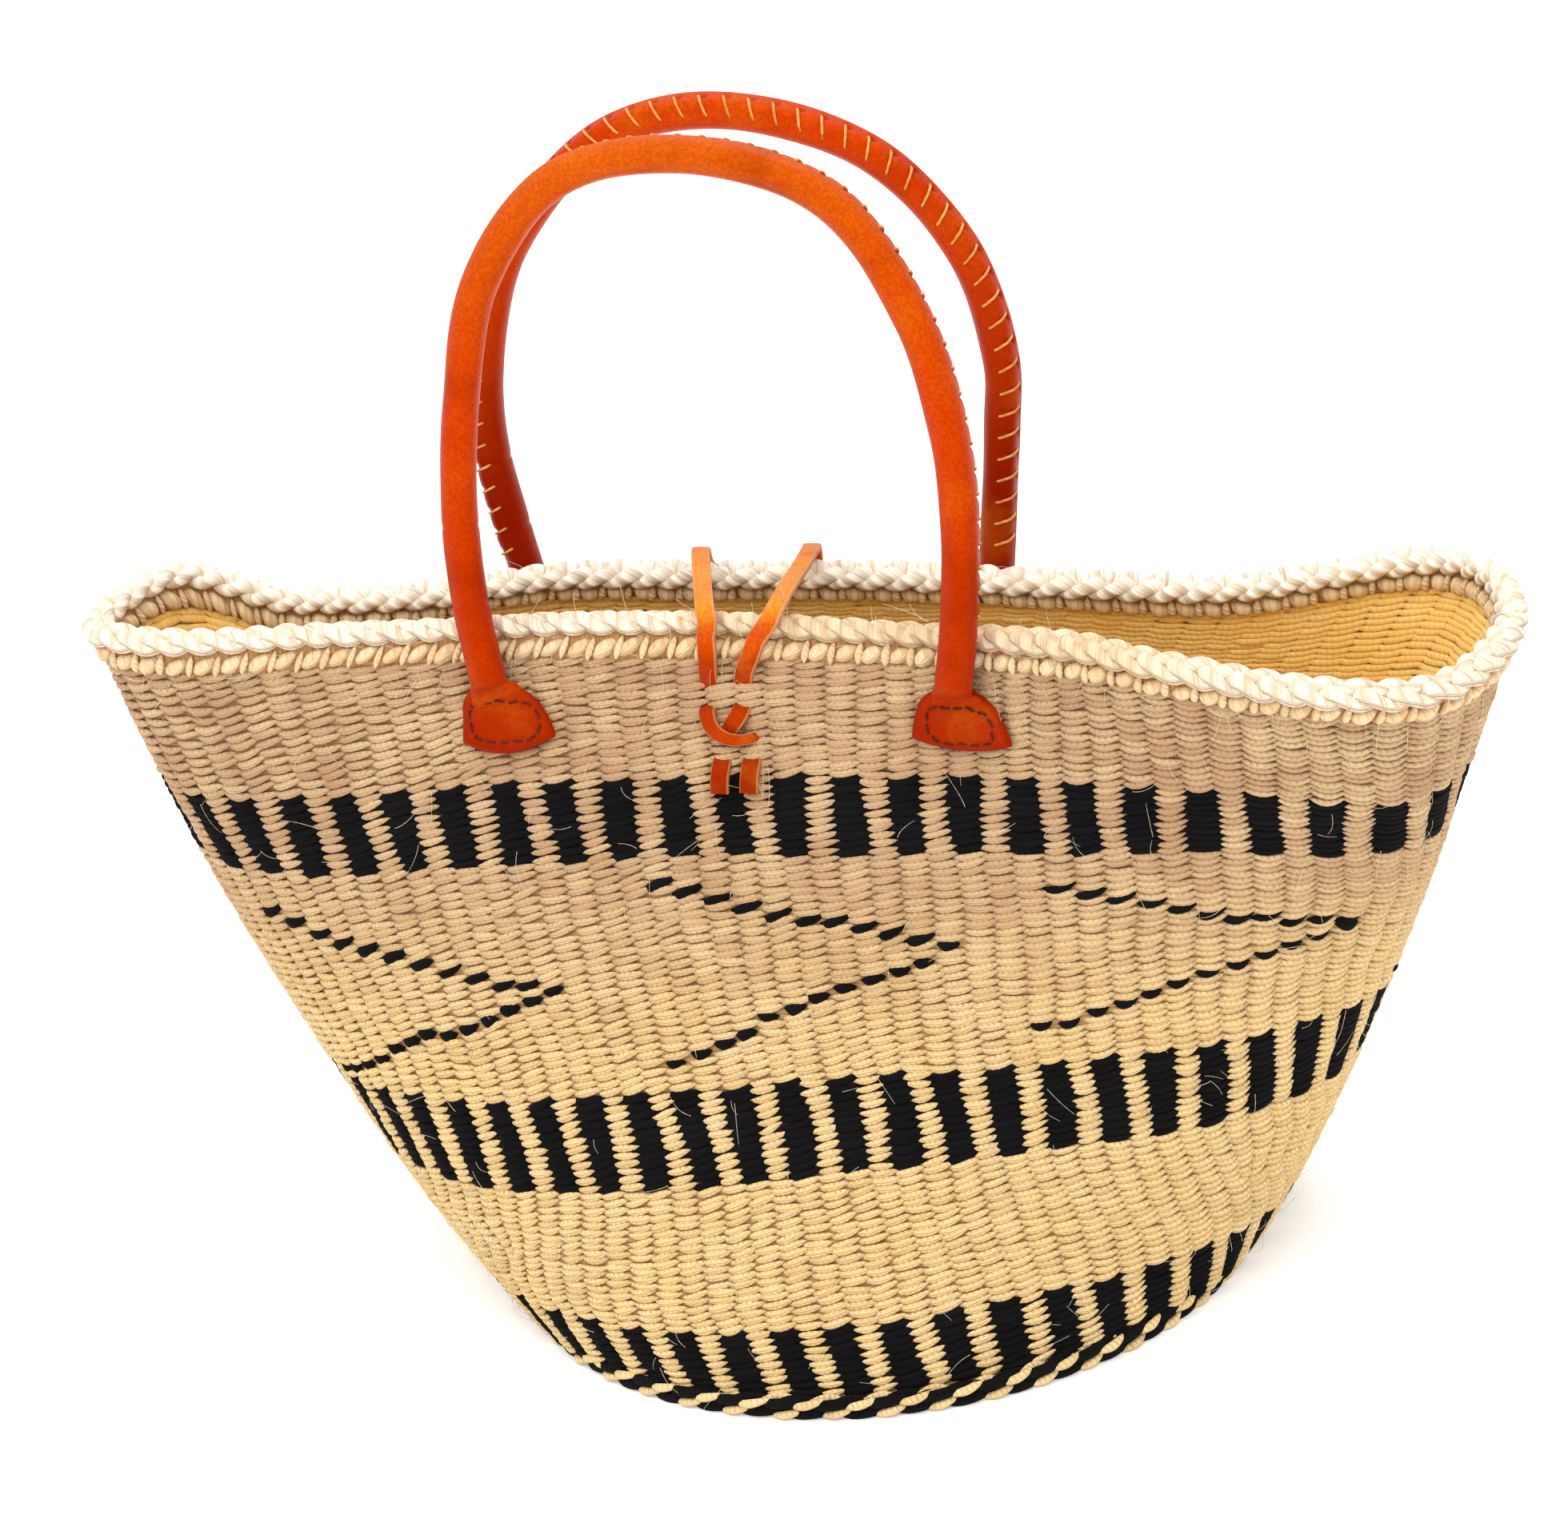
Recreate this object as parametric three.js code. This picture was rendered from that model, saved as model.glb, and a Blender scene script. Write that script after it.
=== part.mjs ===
// A round-bottomed market basket of twined sisal, flattened to a long slit mouth, with two
// rolled leather handles and a leather loop that closes the middle of the mouth.
// Millimetres, +Z up, +X along the mouth, front at -Y, origin in the middle of the base.
import * as THREE from "three";

// Driving dimensions of the woven body.
const BASE_RADIUS = 122.5;
const BASE_TURN = 14.4;
const BELLY = { x: -13, y: 5, z: 94, right: 183.5, left: 187.5, front: 83.5, back: 88.5 };
const BELLY_TURN = 7;
const BELLY_TILT = -11;
const BELLY_SQUARENESS = 1.95;
const WARP_LENGTH = 255;
const WALL_HALF = 2.6;
const GAP = 0.3;
const AROUND = 56;

// Middle of the plaited rim, from the right end, anticlockwise seen from above.
const RIM_POINTS = [
  [225, -34, 222],
  [206, 22, 224],
  [131, 27, 220],
  [63, 29, 224],
  [-6, 32, 228],
  [-74, 34, 230],
  [-143, 26, 228],
  [-219, 23, 237],
  [-237, -14, 232],
  [-214, -25, 229],
  [-141, -20, 230],
  [-74, -19, 232],
  [-13, -23, 233],
  [55, -38, 232],
  [131, -72, 229],
  [203, -76, 218],
];

// Heights along a warp where the zones of the wall meet.
const ROW = 2.5;
const LOWER_BAND = [5 * ROW, 12 * ROW];
const MIDDLE_BAND = [31 * ROW, 43 * ROW];
const UPPER_BAND = [72 * ROW, 82 * ROW];
const STITCH_COURSE = [97 * ROW, 100 * ROW];
const PLAIT_HALF = 5;
const STITCH_HALF = 3.3;

// Base.
const DISC_THICKNESS = 4.5;
const BRAID_WIDTH = 6.8;
const BRAID_HEIGHT = 7;
const BRAID_LIFT = 0.3;

// Leather handles. A path point is [along the hinge axis, up the handle's plane].
const SLEEVE_RADIUS = 5.9;
const SLEEVE_BORE = 4;
const CORE_RADIUS = 3.6;
const SEAM_RADIUS = 0.9;
const FRONT_HANDLE = {
  name: "front_handle",
  left: [-102, -33.5, 216.5],
  right: [57, -54.5, 217],
  lean: 8,
  mouthSide: 1,
  path: [
    [-77.5, 2],
    [-81, 28],
    [-81.5, 57],
    [-77, 93],
    [-66, 131],
    [-37, 162],
    [9, 168],
    [52, 153],
    [76, 117],
    [85, 82],
    [86.5, 55],
    [83.5, 20],
    [80.5, 2],
  ],
};
const REAR_HANDLE = {
  name: "rear_handle",
  left: [-107, 48.6, 214],
  right: [53, 45.6, 214],
  lean: -4,
  mouthSide: -1,
  path: [
    [-80, 2],
    [-83.5, 30],
    [-85.5, 55],
    [-83, 82],
    [-67, 126],
    [-28, 162],
    [11, 168],
    [57, 151],
    [83, 117],
    [90.5, 79],
    [88, 57],
    [82, 20],
    [79, 2],
  ],
};

// Tabs: place round the basket, height of the middle, and turn on the wall in degrees.
const TAB = { halfHeight: 13, topHalf: 6.5, bottomHalf: 14.5, thickness: 2.4, lift: 0.7 };
const TABS = [
  { name: "tab_front_left", s: 0.6587, h: 223.5, turn: 12 },
  { name: "tab_front_right", s: 0.8005, h: 224.5, turn: 0 },
  { name: "tab_rear_left", s: 0.3485, h: 222, turn: 0 },
  { name: "tab_rear_right", s: 0.2010, h: 222, turn: 0 },
];

// Closure thong.
const THONG_WIDTH = 6;
const THONG_THICKNESS = 2.2;

const STRAW = 0xdcc49c;
const STRAW_PALE = 0xefe0bf;
const CHARCOAL = 0x1c1a1c;
const TAN = 0xd4590f;
const THREAD = 0x5a2410;
const CORD = 0xc9a878;

const group = new THREE.Group();

function addMesh(name, geometry, colour, roughness) {
  geometry.computeVertexNormals();
  const material = new THREE.MeshStandardMaterial({ color: colour, roughness, metalness: 0 });
  const mesh = new THREE.Mesh(geometry, material);
  mesh.name = name;
  group.add(mesh);
}

function geometryFrom(points, faces) {
  const geometry = new THREE.BufferGeometry();
  const numbers = points.flatMap((point) => point.toArray());
  geometry.setAttribute("position", new THREE.Float32BufferAttribute(numbers, 3));
  geometry.setIndex(faces.flat());
  return geometry;
}

// Shape of the wall. s goes round the basket from 0 to 1, h is the height along a warp.
const rimCurve = new THREE.CatmullRomCurve3(
  RIM_POINTS.map((point) => new THREE.Vector3(...point)),
  true,
  "centripetal",
);
rimCurve.arcLengthDivisions = 800;

function rounded(value, power) {
  return Math.sign(value) * Math.abs(value) ** power;
}

function basePoint(s) {
  const angle = 2 * Math.PI * s + THREE.MathUtils.degToRad(BASE_TURN);
  return new THREE.Vector3(BASE_RADIUS * Math.cos(angle), BASE_RADIUS * Math.sin(angle), 0);
}

function bellyPoint(s) {
  const angle = 2 * Math.PI * s + THREE.MathUtils.degToRad(BELLY_TURN);
  const cosine = Math.cos(angle);
  const sine = Math.sin(angle);
  const power = 2 / BELLY_SQUARENESS;
  const radiusX = cosine > 0 ? BELLY.right : BELLY.left;
  const radiusY = sine < 0 ? BELLY.front : BELLY.back;
  const x = BELLY.x + radiusX * rounded(cosine, power);
  const y = BELLY.y + radiusY * rounded(sine, power);
  return new THREE.Vector3(x, y, BELLY.z + BELLY_TILT * cosine);
}

const warps = new Map();

function warpAt(s) {
  const place = ((s % 1) + 1) % 1;
  const key = place.toFixed(6);
  if (!warps.has(key)) {
    const base = basePoint(place);
    const rim = rimCurve.getPointAt(place);
    const ends = base.clone().add(rim).multiplyScalar(0.5);
    const control = bellyPoint(place).multiplyScalar(2).sub(ends);
    warps.set(key, new THREE.QuadraticBezierCurve3(base, control, rim));
  }
  return warps.get(key);
}

function middlePoint(s, h) {
  const warp = warpAt(s);
  const share = h / WARP_LENGTH;
  if (share <= 1) {
    return warp.getPointAt(Math.max(share, 0));
  }
  return warp.getPoint(1).addScaledVector(warp.getTangent(1), h - WARP_LENGTH);
}

function wallNormal(s, h) {
  const around = middlePoint(s + 0.004, h).sub(middlePoint(s - 0.004, h));
  const upward = middlePoint(s, h + 1.5).sub(middlePoint(s, h - 1.5));
  return around.cross(upward).normalize();
}

function wallPoint(s, h, offset) {
  return middlePoint(s, h).addScaledVector(wallNormal(s, h), offset);
}

// A closed ring of wall. The section is a list of [height, offset], outside first, going up.
function wallRing(name, section, colour) {
  const points = [];
  const faces = [];
  const count = section.length;
  for (let i = 0; i < AROUND; i++) {
    for (const [h, offset] of section) {
      points.push(wallPoint(i / AROUND, h, offset));
    }
    const next = (i + 1) % AROUND;
    for (let j = 0; j < count; j++) {
      const k = (j + 1) % count;
      const corners = [i * count + j, next * count + j, next * count + k, i * count + k];
      // The underside is cut along the other diagonal, so that it matches the ring below.
      const [a, b, c, d] = k === 0 ? [...corners.slice(1), corners[0]] : corners;
      faces.push([a, b, c], [a, c, d]);
    }
  }
  addMesh(name, geometryFrom(points, faces), colour, 0.95);
}

function bandSection(bottom, top, half, steps) {
  const low = bottom + GAP / 2;
  const high = top - GAP / 2;
  const section = [];
  for (let i = 0; i <= steps; i++) {
    section.push([low + ((high - low) * i) / steps, half]);
  }
  for (let i = steps; i >= 0; i--) {
    section.push([low + ((high - low) * i) / steps, -half]);
  }
  return section;
}

function addWall() {
  const zones = [
    ["lower_check_band", LOWER_BAND[0], LOWER_BAND[1], 1, CHARCOAL],
    ["lower_plain_wall", LOWER_BAND[1], MIDDLE_BAND[0], 3, STRAW],
    ["middle_check_band", MIDDLE_BAND[0], MIDDLE_BAND[1], 2, CHARCOAL],
    ["zigzag_wall", MIDDLE_BAND[1], UPPER_BAND[0], 4, STRAW],
    ["upper_check_band", UPPER_BAND[0], UPPER_BAND[1], 1, CHARCOAL],
    ["upper_plain_wall", UPPER_BAND[1], STITCH_COURSE[0], 2, STRAW],
  ];
  for (const [name, bottom, top, steps, colour] of zones) {
    wallRing(name, bandSection(bottom, top, WALL_HALF, steps), colour);
  }
  const course = bandSection(STITCH_COURSE[0], STITCH_COURSE[1] - GAP, STITCH_HALF, 1);
  wallRing("rim_stitch_course", course, STRAW_PALE);
}

function addRimPlait() {
  const section = [];
  const sides = 8;
  for (let i = 0; i < sides; i++) {
    const angle = (2 * Math.PI * (i + 0.5)) / sides;
    section.push([WARP_LENGTH + PLAIT_HALF * Math.sin(angle), PLAIT_HALF * Math.cos(angle)]);
  }
  wallRing("rim_plait", section, STRAW_PALE);
}

function latheRing(profile) {
  const points = profile.map(([radius, z]) => new THREE.Vector2(radius, z));
  return new THREE.LatheGeometry(points, AROUND).rotateX(Math.PI / 2);
}

function addBase() {
  const braidOuter = BASE_RADIUS + BRAID_WIDTH / 2;
  const braidInner = BASE_RADIUS - BRAID_WIDTH / 2;
  const discRadius = braidInner - GAP;
  const disc = [
    [0, 0],
    [discRadius, 0],
    [discRadius, DISC_THICKNESS],
    [0, DISC_THICKNESS],
  ];
  addMesh("base_disc", latheRing(disc), STRAW, 0.95);
  const bevel = 1.8;
  const top = BRAID_LIFT + BRAID_HEIGHT;
  const braid = [
    [braidInner + bevel, BRAID_LIFT],
    [braidOuter - bevel, BRAID_LIFT],
    [braidOuter, BRAID_LIFT + bevel],
    [braidOuter, top - bevel],
    [braidOuter - bevel, top],
    [braidInner + bevel, top],
    [braidInner, top - bevel],
    [braidInner, BRAID_LIFT + bevel],
    [braidInner + bevel, BRAID_LIFT],
  ];
  addMesh("base_edge_braid", latheRing(braid), CHARCOAL, 0.95);
}

// A handle's plane: origin between the two necks, one axis through them, one up the handle.
function handleFrame(handle) {
  const left = new THREE.Vector3(...handle.left);
  const right = new THREE.Vector3(...handle.right);
  const origin = left.clone().add(right).multiplyScalar(0.5);
  const axis = right.sub(left).normalize();
  const lean = THREE.MathUtils.degToRad(handle.lean);
  const up = new THREE.Vector3(0, Math.sin(lean), Math.cos(lean));
  up.addScaledVector(axis, -up.dot(axis)).normalize();
  const mouthward = axis.clone().cross(up).multiplyScalar(-handle.mouthSide);
  return { origin, axis, up, mouthward };
}

function handlePath(handle, places, sideways) {
  const { origin, axis, up, mouthward } = handleFrame(handle);
  const points = places.map(([along, rise]) =>
    origin
      .clone()
      .addScaledVector(axis, along)
      .addScaledVector(up, rise)
      .addScaledVector(mouthward, sideways),
  );
  return new THREE.CatmullRomCurve3(points, false, "centripetal");
}

function circle(radius, sides) {
  const points = [];
  for (let i = 0; i < sides; i++) {
    const angle = (2 * Math.PI * i) / sides;
    points.push(new THREE.Vector2(radius * Math.cos(angle), radius * Math.sin(angle)));
  }
  return points;
}

function tubeAlong(path, radius, bore, sides, steps) {
  const shape = new THREE.Shape(circle(radius, sides));
  if (bore > 0) {
    shape.holes.push(new THREE.Path(circle(bore, sides)));
  }
  return new THREE.ExtrudeGeometry(shape, { steps, extrudePath: path, bevelEnabled: false });
}

function addHandle(handle) {
  const middle = handlePath(handle, handle.path, 0);
  // The ridge of the seam shows only on the free part of the handle, above the rim.
  const free = handle.path.slice(1, -1);
  const seam = handlePath(handle, free, SLEEVE_RADIUS + SEAM_RADIUS + GAP);
  const sleeve = tubeAlong(middle, SLEEVE_RADIUS, SLEEVE_BORE, 10, 40);
  addMesh(`${handle.name}_sleeve`, sleeve, TAN, 0.5);
  addMesh(`${handle.name}_core`, tubeAlong(middle, CORE_RADIUS, 0, 8, 40), CORD, 0.9);
  addMesh(`${handle.name}_seam`, tubeAlong(seam, SEAM_RADIUS, 0, 5, 40), THREAD, 0.8);
}

// A point on the wall near a tab, from millimetres across and up in the tab's own turned axes.
function tabPoint(tab, across, up, offset) {
  const turn = THREE.MathUtils.degToRad(tab.turn);
  const sideways = across * Math.cos(turn) - up * Math.sin(turn);
  const height = across * Math.sin(turn) + up * Math.cos(turn);
  const s = tab.s + sideways / rimCurve.getLength();
  return wallPoint(s, tab.h + height, offset);
}

// Half the tab's width at a share of its height, 0 at the bottom and 1 at the neck.
function tabHalfWidth(share) {
  const flare = (1 + Math.cos(Math.PI * share ** 0.9)) / 2;
  return TAB.topHalf + (TAB.bottomHalf - TAB.topHalf) * flare;
}

function addTab(tab) {
  const rows = 7;
  const columns = 6;
  const inner = WALL_HALF + TAB.lift;
  const outer = inner + TAB.thickness;
  const points = [];
  for (const offset of [inner, outer]) {
    for (let i = 0; i <= rows; i++) {
      const share = i / rows;
      for (let j = 0; j <= columns; j++) {
        const side = (2 * j) / columns - 1;
        const sag = 2.5 * side * side * (1 - share);
        const up = TAB.halfHeight * (2 * share - 1) + sag;
        points.push(tabPoint(tab, side * tabHalfWidth(share), up, offset));
      }
    }
  }
  const wide = columns + 1;
  const layer = wide * (rows + 1);
  const faces = [];
  const quad = (a, b, c, d) => faces.push([a, b, c], [a, c, d]);
  for (let i = 0; i < rows; i++) {
    for (let j = 0; j < columns; j++) {
      const a = i * wide + j;
      quad(a, a + wide, a + wide + 1, a + 1);
      quad(layer + a, layer + a + 1, layer + a + wide + 1, layer + a + wide);
    }
    const left = i * wide;
    const right = i * wide + columns;
    quad(left, layer + left, layer + left + wide, left + wide);
    quad(right, right + wide, layer + right + wide, layer + right);
  }
  for (let j = 0; j < columns; j++) {
    const top = rows * wide + j;
    quad(j, j + 1, layer + j + 1, layer + j);
    quad(top, layer + top, layer + top + 1, top + 1);
  }
  addMesh(tab.name, geometryFrom(points, faces), TAN, 0.5);
}

function addTabStitching(tab) {
  const threadRadius = 0.5;
  const offset = WALL_HALF + TAB.lift + TAB.thickness + GAP + threadRadius;
  const points = [];
  const corners = 16;
  for (let i = 0; i < corners; i++) {
    const angle = (2 * Math.PI * i) / corners;
    const across = 8.2 * rounded(Math.cos(angle), 0.75);
    const up = -2.5 + 6.3 * rounded(Math.sin(angle), 0.75);
    points.push(tabPoint(tab, across, up, offset));
  }
  const loop = new THREE.CatmullRomCurve3(points, true, "centripetal");
  const steps = 32;
  const sides = 4;
  const vertices = [];
  const faces = [];
  const normal = wallNormal(tab.s, tab.h);
  for (let i = 0; i < steps; i++) {
    const centre = loop.getPointAt(i / steps);
    const sideways = loop.getTangentAt(i / steps).cross(normal).normalize();
    for (let j = 0; j < sides; j++) {
      const angle = (2 * Math.PI * j) / sides;
      vertices.push(
        centre
          .clone()
          .addScaledVector(sideways, threadRadius * Math.cos(angle))
          .addScaledVector(normal, threadRadius * Math.sin(angle)),
      );
      const next = (i + 1) % steps;
      const k = (j + 1) % sides;
      faces.push([i * sides + j, next * sides + k, i * sides + k]);
      faces.push([i * sides + j, next * sides + j, next * sides + k]);
    }
  }
  addMesh(tab.name.replace("tab_", "stitching_"), geometryFrom(vertices, faces), THREAD, 0.8);
}

// A flat strap through places, each a point with the direction that its upper face looks in.
function strap(name, places, steps) {
  const curve = new THREE.CatmullRomCurve3(places.map((place) => place.at));
  const facing = new THREE.CatmullRomCurve3(places.map((place) => place.up));
  const vertices = [];
  const faces = [];
  for (let i = 0; i <= steps; i++) {
    const centre = curve.getPoint(i / steps);
    const tangent = curve.getTangent(i / steps);
    const up = facing.getPoint(i / steps);
    up.addScaledVector(tangent, -up.dot(tangent)).normalize();
    const across = tangent.clone().cross(up);
    for (const [a, b] of [[-1, -1], [1, -1], [1, 1], [-1, 1]]) {
      vertices.push(
        centre
          .clone()
          .addScaledVector(across, (a * THONG_WIDTH) / 2)
          .addScaledVector(up, (b * THONG_THICKNESS) / 2),
      );
    }
    if (i > 0) {
      const old = (i - 1) * 4;
      for (let j = 0; j < 4; j++) {
        const k = (j + 1) % 4;
        faces.push([old + j, old + 4 + k, old + k], [old + j, old + 4 + j, old + 4 + k]);
      }
    }
  }
  const last = steps * 4;
  faces.push([0, 1, 2], [0, 2, 3], [last, last + 2, last + 1], [last, last + 3, last + 2]);
  addMesh(name, geometryFrom(vertices, faces), TAN, 0.55);
}

function onWall(s, h, offset) {
  return { at: wallPoint(s, h, offset), up: wallNormal(s, h) };
}

function inAir(point, up) {
  return { at: new THREE.Vector3(...point), up: new THREE.Vector3(...up).normalize() };
}

// The thong is laced through the front wall: two legs, a half knot and two cut tails.
function addLacing() {
  const flat = WALL_HALF + 0.6 + THONG_THICKNESS / 2;
  const proud = PLAIT_HALF + 0.6 + THONG_THICKNESS / 2;
  const legs = [
    ["closure_leg_left", 0.7212, 0.7205, 0.722],
    ["closure_leg_right", 0.7312, 0.738, 0.7425],
  ];
  for (const [name, low, middle, high] of legs) {
    const places = [
      onWall(low, 233.5, flat),
      onWall(middle, 241, flat + 1.4),
      onWall(middle, 247.5, proud - 0.1),
      onWall(high, 254.5, proud + 0.3),
    ];
    strap(name, places, 8);
  }
  const knot = [
    onWall(0.7208, 225.5, flat),
    onWall(0.723, 221, flat + 0.4),
    onWall(0.7275, 218.6, flat + 0.6),
    onWall(0.7318, 218.4, flat + 0.2),
  ];
  strap("closure_half_knot", knot, 8);
  const tails = [
    ["closure_tail_left", 0.7252],
    ["closure_tail_right", 0.7343],
  ];
  for (const [name, s] of tails) {
    strap(name, [onWall(s, 209, flat), onWall(s, 204, flat + 0.3), onWall(s, 199.5, flat)], 3);
  }
}

// The free loop lies over both rims and hangs down behind the rear one.
const LOOP_PLACES = [
  [[-22, -32.2, 237.2], [0, -1, 0.5]],
  [[-22.5, -28, 240.8], [0, -0.5, 1]],
  [[-26, -18, 242], [0, 0, 1]],
  [[-36, 10, 240.6], [0, 0, 1]],
  [[-43, 30, 238.6], [0, 0.15, 1]],
  [[-45, 39, 236.4], [0, 1, 1]],
  [[-45, 44, 229], [0, 1, 0.1]],
  [[-41, 48, 218.5], [0, 1, 0.2]],
  [[-26, 49.6, 211.5], [0, 1, 0.2]],
  [[-11.5, 48, 218.5], [0, 1, 0.2]],
  [[-7.5, 43.6, 229], [0, 1, 0.1]],
  [[-7.5, 38, 236], [0, 1, 1]],
  [[-7, 29, 238], [0, 0.15, 1]],
  [[-5.5, 10, 240.4], [0, 0, 1]],
  [[-4, -20, 242], [0, 0, 1]],
  [[-3, -31, 240.8], [0, -0.5, 1]],
  [[-3, -35, 237.4], [0, -1, 0.5]],
];

function addLoop() {
  strap("closure_loop", LOOP_PLACES.map(([point, up]) => inAir(point, up)), 60);
}

// A rolled leather toggle on the rear wall, below the hanging end of the loop.
function addToggle() {
  const radius = 5;
  const length = 22;
  const centreS = 0.2885;
  const centreH = 208;
  const middle = wallPoint(centreS, centreH, WALL_HALF + 0.6 + radius);
  const along = wallPoint(centreS - 0.01, centreH, 0).sub(wallPoint(centreS + 0.01, centreH, 0));
  const turn = new THREE.Quaternion().setFromUnitVectors(
    new THREE.Vector3(0, 1, 0),
    along.normalize(),
  );
  const roll = new THREE.CylinderGeometry(radius, radius, length, 12);
  roll.applyQuaternion(turn).translate(middle.x, middle.y, middle.z);
  addMesh("closure_toggle", roll, TAN, 0.55);
}

addBase();
addWall();
addRimPlait();
for (const tab of TABS) {
  addTab(tab);
  addTabStitching(tab);
}
addLacing();
addToggle();
addHandle(FRONT_HANDLE);
addHandle(REAR_HANDLE);
addLoop();

export default group;
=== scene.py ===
import math
import bpy
import numpy as np
from mathutils import Matrix, Vector


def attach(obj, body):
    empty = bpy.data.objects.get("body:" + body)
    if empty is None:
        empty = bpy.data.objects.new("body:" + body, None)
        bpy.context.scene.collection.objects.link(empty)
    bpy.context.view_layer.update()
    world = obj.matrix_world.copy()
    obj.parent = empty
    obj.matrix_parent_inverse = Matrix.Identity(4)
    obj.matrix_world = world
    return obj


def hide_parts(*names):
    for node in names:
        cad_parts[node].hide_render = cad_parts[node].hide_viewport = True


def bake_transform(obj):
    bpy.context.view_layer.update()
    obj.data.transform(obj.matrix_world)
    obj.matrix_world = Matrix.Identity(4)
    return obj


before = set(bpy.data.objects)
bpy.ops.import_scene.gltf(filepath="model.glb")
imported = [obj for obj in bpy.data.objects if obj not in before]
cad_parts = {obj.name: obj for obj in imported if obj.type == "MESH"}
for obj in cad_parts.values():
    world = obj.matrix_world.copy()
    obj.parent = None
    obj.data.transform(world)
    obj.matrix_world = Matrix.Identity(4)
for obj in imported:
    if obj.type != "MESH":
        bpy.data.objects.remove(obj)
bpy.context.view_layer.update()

# Everything is worked out in millimetres and turned into metres when a mesh is made.
MM = 0.001
TAU = 2 * math.pi
rng = np.random.RandomState(11)
pi, cos, sin, interp, arange, linspace = np.pi, np.cos, np.sin, np.interp, np.arange, np.linspace
stack, vstack = np.stack, np.vstack

# ---- driving dimensions
BASE_RADIUS, BASE_TURN = 122.5, math.radians(14.4)
BELLY = dict(x=-13, y=5, z=94, right=183.5, left=187.5, front=83.5, back=88.5)
BELLY_TURN, BELLY_TILT, BELLY_POWER = math.radians(7), -11, 2 / 1.95
WARP_LENGTH = 255.0
RIM_POINTS = [
    (225, -34, 222), (206, 22, 224), (131, 27, 220), (63, 29, 224),
    (-6, 32, 228), (-74, 34, 230), (-143, 26, 228), (-219, 23, 237),
    (-237, -14, 232), (-214, -25, 229), (-141, -20, 230), (-74, -19, 232),
    (-13, -23, 233), (55, -38, 232), (131, -72, 229), (203, -76, 218),
]
ROW = 2.5
LOWER_BAND, MIDDLE_BAND, UPPER_BAND = BANDS = (3, 12), (31, 43), (72, 82)
LOWER_SPLIT, ZIGZAG_SPLIT, TOP_ROW = 22, 58, 97
DASH_ROWS = range(40, 72)
BASE_ROWS, BASE_ROW, BASE_MIDDLE = 46, 2.6, 2.35
PLAIT_PITCH, PLAIT_HEIGHT = 29.0, 253.0
COURSE_HEIGHT = 245.6
FIRST_WARPS, MOST_WARPS = 92, 104
WALL_FACE = 2.6 + 0.6
SLEEVE = 5.9
SEAM_TURN = math.radians(48)
SEAM_STEP = 7.6
TAB_FOOT, TAB_HEIGHT, TAB_THICK, TAB_LIFT = -6.3, 18.8, 2.2, 3.2
THONG_WIDTH, THONG_THICK = 6.0, 2.2
LEATHER_GRAIN = 900.0
TOGGLE_PLACE = (0.2885, 208.0)
TOGGLE_RADIUS, TOGGLE_HOLE, TOGGLE_LEATHER = 5.0, 1.1, 1.25


# ---- small helpers
def smooth(x):
    """An S-shaped step from 0 at x = 0 to 1 at x = 1."""
    x = np.clip(x, 0, 1)
    return x * x * (3 - 2 * x)


def bell(x, width):
    return np.exp(-((x / width) ** 2))


def unit(v):
    v = np.asarray(v, float)
    return v / np.linalg.norm(v, axis=-1, keepdims=True)


def lengths_along(points):
    return np.r_[0, np.cumsum(np.linalg.norm(np.diff(points, axis=0), axis=1))]


def columns_at(q, x, table):
    """Each column of a table, read at q between the places x of its rows."""
    return stack([interp(q, x, column) for column in table.T], 1)


def resample(points, count):
    d = lengths_along(points)
    return columns_at(linspace(0, d[-1], count), d, points)


def spline(points, closed, steps=24):
    """Centripetal Catmull-Rom curve through the points, as a list of close points."""
    p = np.array(points, float)
    n = len(p)
    if not closed:
        p = vstack([2 * p[0] - p[1], p, 2 * p[-1] - p[-2]])
    out = []
    t = linspace(0, 1, steps, endpoint=False)[:, None]
    for i in range(n if closed else n - 1):
        a, b, c, d = (p[(i - 1) % n], p[i], p[(i + 1) % n], p[(i + 2) % n]) if closed else p[i:i + 4]
        d1, d2, d3 = (max(np.linalg.norm(v), 1e-9) ** 0.5 for v in (b - a, c - b, d - c))
        m1 = ((b - a) / d1 - (c - a) / (d1 + d2) + (c - b) / d2) * d2
        m2 = ((c - b) / d2 - (d - b) / (d2 + d3) + (d - c) / d3) * d2
        out.append((2 * t**3 - 3 * t**2 + 1) * b + (t**3 - 2 * t**2 + t) * m1
                   + (3 * t**2 - 2 * t**3) * c + (t**3 - t**2) * m2)
    if not closed:
        out.append(p[-2:-1])
    return vstack(out)


def angles(sides, start=0.0):
    return TAU * (arange(sides) + start) / sides


def pairs(a, b):
    """Every pairing of a and b, broadcast against each other, as rows of two."""
    return stack(np.broadcast_arrays(a, b), -1).reshape(-1, 2)


def jitter(spread, n):
    """A column of n small random errors."""
    return rng.normal(0, spread, n)[:, None]


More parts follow.
